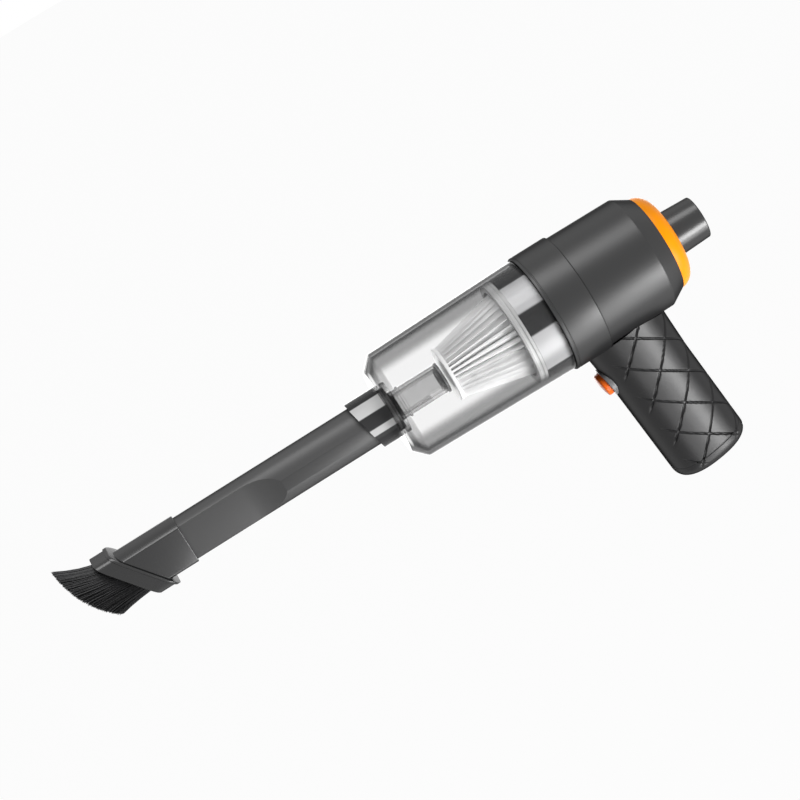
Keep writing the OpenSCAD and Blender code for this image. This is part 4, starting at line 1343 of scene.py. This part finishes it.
    def _dome(self) -> bpy.types.Object:
        """Raises the end cap ring by ring, with the grooves of the halves running on over it.

        Returns:
            The cap, before its holes are cut.
        """
        bm = bmesh.new()
        a, b = self.halves(self.seam_h)
        loop = bmesh.ops.create_circle(bm, segments=self.cap_steps, radius=1.0)["verts"]
        edges = bm.edges[:]
        angles = {v: math.atan2(v.co.y, v.co.x) for v in loop}
        for number, (h, inset) in enumerate(self._cap_rings()):
            if number:
                grown = bmesh.ops.extrude_edge_only(bm, edges=edges)["geom"]
                angles = {v: next(angles[w] for w in (e.other_vert(v) for e in v.link_edges) if w in angles)
                          for v in grown if isinstance(v, bmesh.types.BMVert)}
                edges = [e for e in grown if isinstance(e, bmesh.types.BMEdge)
                         and all(v in angles for v in e.verts)]
            for v, turn in angles.items():
                u = self._round_at(turn)
                clear = max(0.0, min(1.0, (self.quarter - self.port_clear - u) / self.groove_fade))
                dip = self._groove(u, h) * clear if number > 1 else 0.0
                v.co = Vector((*oval(a - inset - dip, b - inset - dip, turn), -h))
        bmesh.ops.holes_fill(bm, edges=bm.edges, sides=0)
        bmesh.ops.recalc_face_normals(bm, faces=bm.faces)
        return to_object(bm, "grip_end_dome", self.place)

    def _port(self, place: Matrix) -> bpy.types.Object:
        """Makes the charge port's cutter, a box with rounded corners.

        Args:
            place: its place, in millimetres.

        Returns:
            The cutter.
        """
        port = bmesh.new()
        bmesh.ops.create_cube(port, size=1.0)
        bmesh.ops.scale(port, vec=self.port_size, verts=port.verts)
        corners = [e for e in port.edges if abs(e.verts[0].co.x - e.verts[1].co.x) > 1]
        bmesh.ops.bevel(port, geom=corners, offset=self.port_corner, segments=4, profile=0.5,
                        affect="EDGES", material=-1)
        return to_object(port, "port_cutter", place)

    def end_cap(self) -> None:
        """Raises the domed end cap and cuts the charge port and the light's hole into it."""
        dome = self._dome()
        rear, down = self.halves(self.seam_h)[0], self.seam_h + self.port_down
        port = self._port(self.spot(rear - self.port_in, 0, down))
        light = plug(self.light_radius, rear - self.light_in, rear + self.light_out,
                     self.spot(0, self.light_side, down))
        self.keep(carved(dome, [port, light]), GRIP_BLACK, "grip_end_cap")

    def build(self, button: "Button") -> None:
        """Builds the whole sub-assembly.

        Args:
            button: the power button, whose hole the skins get.
        """
        self.skins(button)
        self.end_cap()
        self.paint(STEEL, "grip_screws", "charge_port")
        self.paint(CELL_BLUE, "battery_cells")
        self.paint(DARK_PLASTIC, "cell_holder", "power_switch")
        self.paint(LINK_NICKEL, "cell_links")
        self.paint(BOARD_GREEN, "control_board", "charge_board")
        self.paint(WHITE_PLASTIC, "charge_light", "switch_plunger")


@dataclass
class Button(Assembly):
    """The power button and its bezel."""

    grip: Grip
    down: float = 50.0
    tilt: float = 4.0
    radius: float = 7.0
    proud: float = 3.8
    stem_radius: float = 2.2
    stem_len: float = 2.8
    bezel_radius: float = 9.0
    bezel_proud: float = 0.7
    bezel_depth: float = 4.0
    body: Body = Body.BUTTON

    @property
    def place(self) -> Matrix:
        """The button's frame: X points into the handle."""
        depth = self.grip.halves(self.down)[0]
        return self.grip.spot(-depth, 0, self.down) @ Matrix.Rotation(math.radians(-self.tilt), 4, "Y")

    def cap(self) -> None:
        """Turns the button with its low dome, rounded rim, flange and stem."""
        r, back, stem = self.radius, self.bezel_depth + 1.5, self.stem_radius
        outline = [
            (0, self.proud + 0.5), (r * 0.45, self.proud + 0.36, 3.0), (r - 0.15, self.proud - 0.1, 1.3),
            (r, -self.bezel_depth - 0.3), (r + 1, -self.bezel_depth - 0.3), (r + 1, -back), (stem, -back),
            (stem, -back - self.stem_len), (0, -back - self.stem_len)]
        self.turn("power_cap", BUTTON_ORANGE, "power_button", outline, corner=6, steps=128, place=self.place)

    def bezel(self) -> None:
        """Turns the bezel ring round the button."""
        r, bore = self.bezel_radius, self.radius + 0.3
        outline = [
            (bore, self.bezel_proud, 0.25), (r, self.bezel_proud, 0.6), (r, -self.bezel_depth),
            (bore, -self.bezel_depth)]
        self.turn("bezel_ring", BEZEL_GREY, "button_bezel", outline, steps=128, place=self.place,
                  body=Body.MAIN)

    def build(self) -> None:
        """Builds the whole sub-assembly."""
        self.cap()
        self.bezel()


# ------------------------------------------------------------------ studio


@dataclass(frozen=True)
class Lamp:
    """A soft rectangular lamp that lies along the object and faces its axis."""

    name: str
    place: tuple[float, float, float]
    size: tuple[float, float]
    watts: float

    def hang(self) -> None:
        """Adds the lamp to the scene."""
        data = bpy.data.lights.new(self.name, "AREA")
        data.shape, data.energy = "RECTANGLE", self.watts
        data.size, data.size_y = self.size
        lamp = bpy.data.objects.new(self.name, data)
        bpy.context.scene.collection.objects.link(lamp)
        lamp.location = self.place
        lamp.rotation_mode = "QUATERNION"
        lamp.rotation_quaternion = Vector((0, -self.place[1], -self.place[2])).to_track_quat("-Z", "Y")


@dataclass
class Studio:
    """The camera, the pale floor and the soft lights, in metres."""

    target: tuple[float, float, float] = (-0.1866, 0.0, 0.0018)
    azimuth: float = -5.0
    elevation: float = 22.0
    roll: float = 30.2
    distance: float = 1.4
    lens: float = 120.0
    floor_z: float = -0.9
    floor_radius: float = 6.0
    floor_tone: float = 0.86
    floor_glow: float = 0.965
    fill: float = 0.12
    lamps: tuple[Lamp, ...] = (
        Lamp("low_light", (0.26, -0.54, -0.52), (1.1, 0.38), 6.2),
        Lamp("side_light", (0.30, -0.74, -0.37), (0.36, 0.3), 6.6),
        Lamp("back_light", (-0.15, 0.90, -0.22), (1.2, 0.5), 5.0),
        Lamp("top_light", (-0.1, -0.24, 0.90), (1.3, 0.42), 8.0))

    def camera(self) -> None:
        """Sets up the camera at the object's viewing angle."""
        a, e = math.radians(self.azimuth), math.radians(self.elevation)
        back = Vector((math.sin(a) * math.cos(e), -math.cos(a) * math.cos(e), math.sin(e)))
        data = bpy.data.cameras.new("studio_camera")
        data.lens, data.sensor_width = self.lens, 36.0
        data.clip_start, data.clip_end = 0.05, 50.0
        camera = bpy.data.objects.new("studio_camera", data)
        bpy.context.scene.collection.objects.link(camera)
        camera.location = Vector(self.target) + back * self.distance
        camera.rotation_mode = "QUATERNION"
        camera.rotation_quaternion = ((-back).to_track_quat("-Z", "Y")
                                      @ Quaternion((0, 0, 1), -math.radians(self.roll)))
        bpy.context.scene.camera = camera

    @staticmethod
    def _seen(tree: Tree) -> Level:
        """Picks the rays that show the background: camera, glossy and transmission rays.

        Args:
            tree: the node tree under construction.

        Returns:
            1 for those rays and 0 for the others.
        """
        path = tree.add("ShaderNodeLightPath")
        names = ("Is Camera Ray", "Is Glossy Ray", "Is Transmission Ray")
        camera, glossy, through = (Level(tree, path.outputs[name]) for name in names)
        return (camera + glossy + through).held()

    def world(self) -> None:
        """Fills the room with even light in front of a white background."""
        world = bpy.data.worlds.new("studio_world")
        bpy.context.scene.world = world
        world.use_nodes = True
        tree = Tree(world.node_tree)
        level = self._seen(tree) * (1.0 - self.fill) + self.fill
        back = tree.add("ShaderNodeBackground", None, {"Color": WHITE, "Strength": level})
        tree.add("ShaderNodeOutputWorld", None, {"Surface": back.outputs[0]})

    def floor(self) -> None:
        """Lays the pale floor, which shows white and keeps a soft shadow."""
        bm = bmesh.new()
        bmesh.ops.create_circle(bm, cap_ends=True, segments=96, radius=self.floor_radius / MM)
        piece = to_object(bm, "studio_floor", Matrix.Translation((0, 0, self.floor_z / MM)))
        surface = Surface("pale_floor")
        paper = surface.add("ShaderNodeBsdfDiffuse", None, {"Color": (*(self.floor_tone,) * 3, 1.0)})
        glow = surface.add("ShaderNodeEmission", None, {"Color": WHITE, "Strength": 1.0})
        piece.data.materials.append(surface.shade_mix(self._seen(surface) * self.floor_glow, paper, glow))

    def build(self) -> None:
        """Sets up the whole studio."""
        self.camera()
        self.floor()
        self.world()
        for lamp in self.lamps:
            lamp.hang()
        bpy.context.scene.view_settings.view_transform = "Standard"


def main() -> None:
    """Builds the sub-assemblies in order."""
    logging.basicConfig(level=logging.INFO, format="%(name)s: %(message)s")
    grip = Grip()
    button = Button(grip)
    Barrel().build()
    Filter().build()
    DustCup().build()
    Nozzle().build()
    Brush().build()
    grip.build(button)
    button.build()
    Studio().build()
    bpy.context.view_layer.update()


if __name__ == "__main__":
    main()
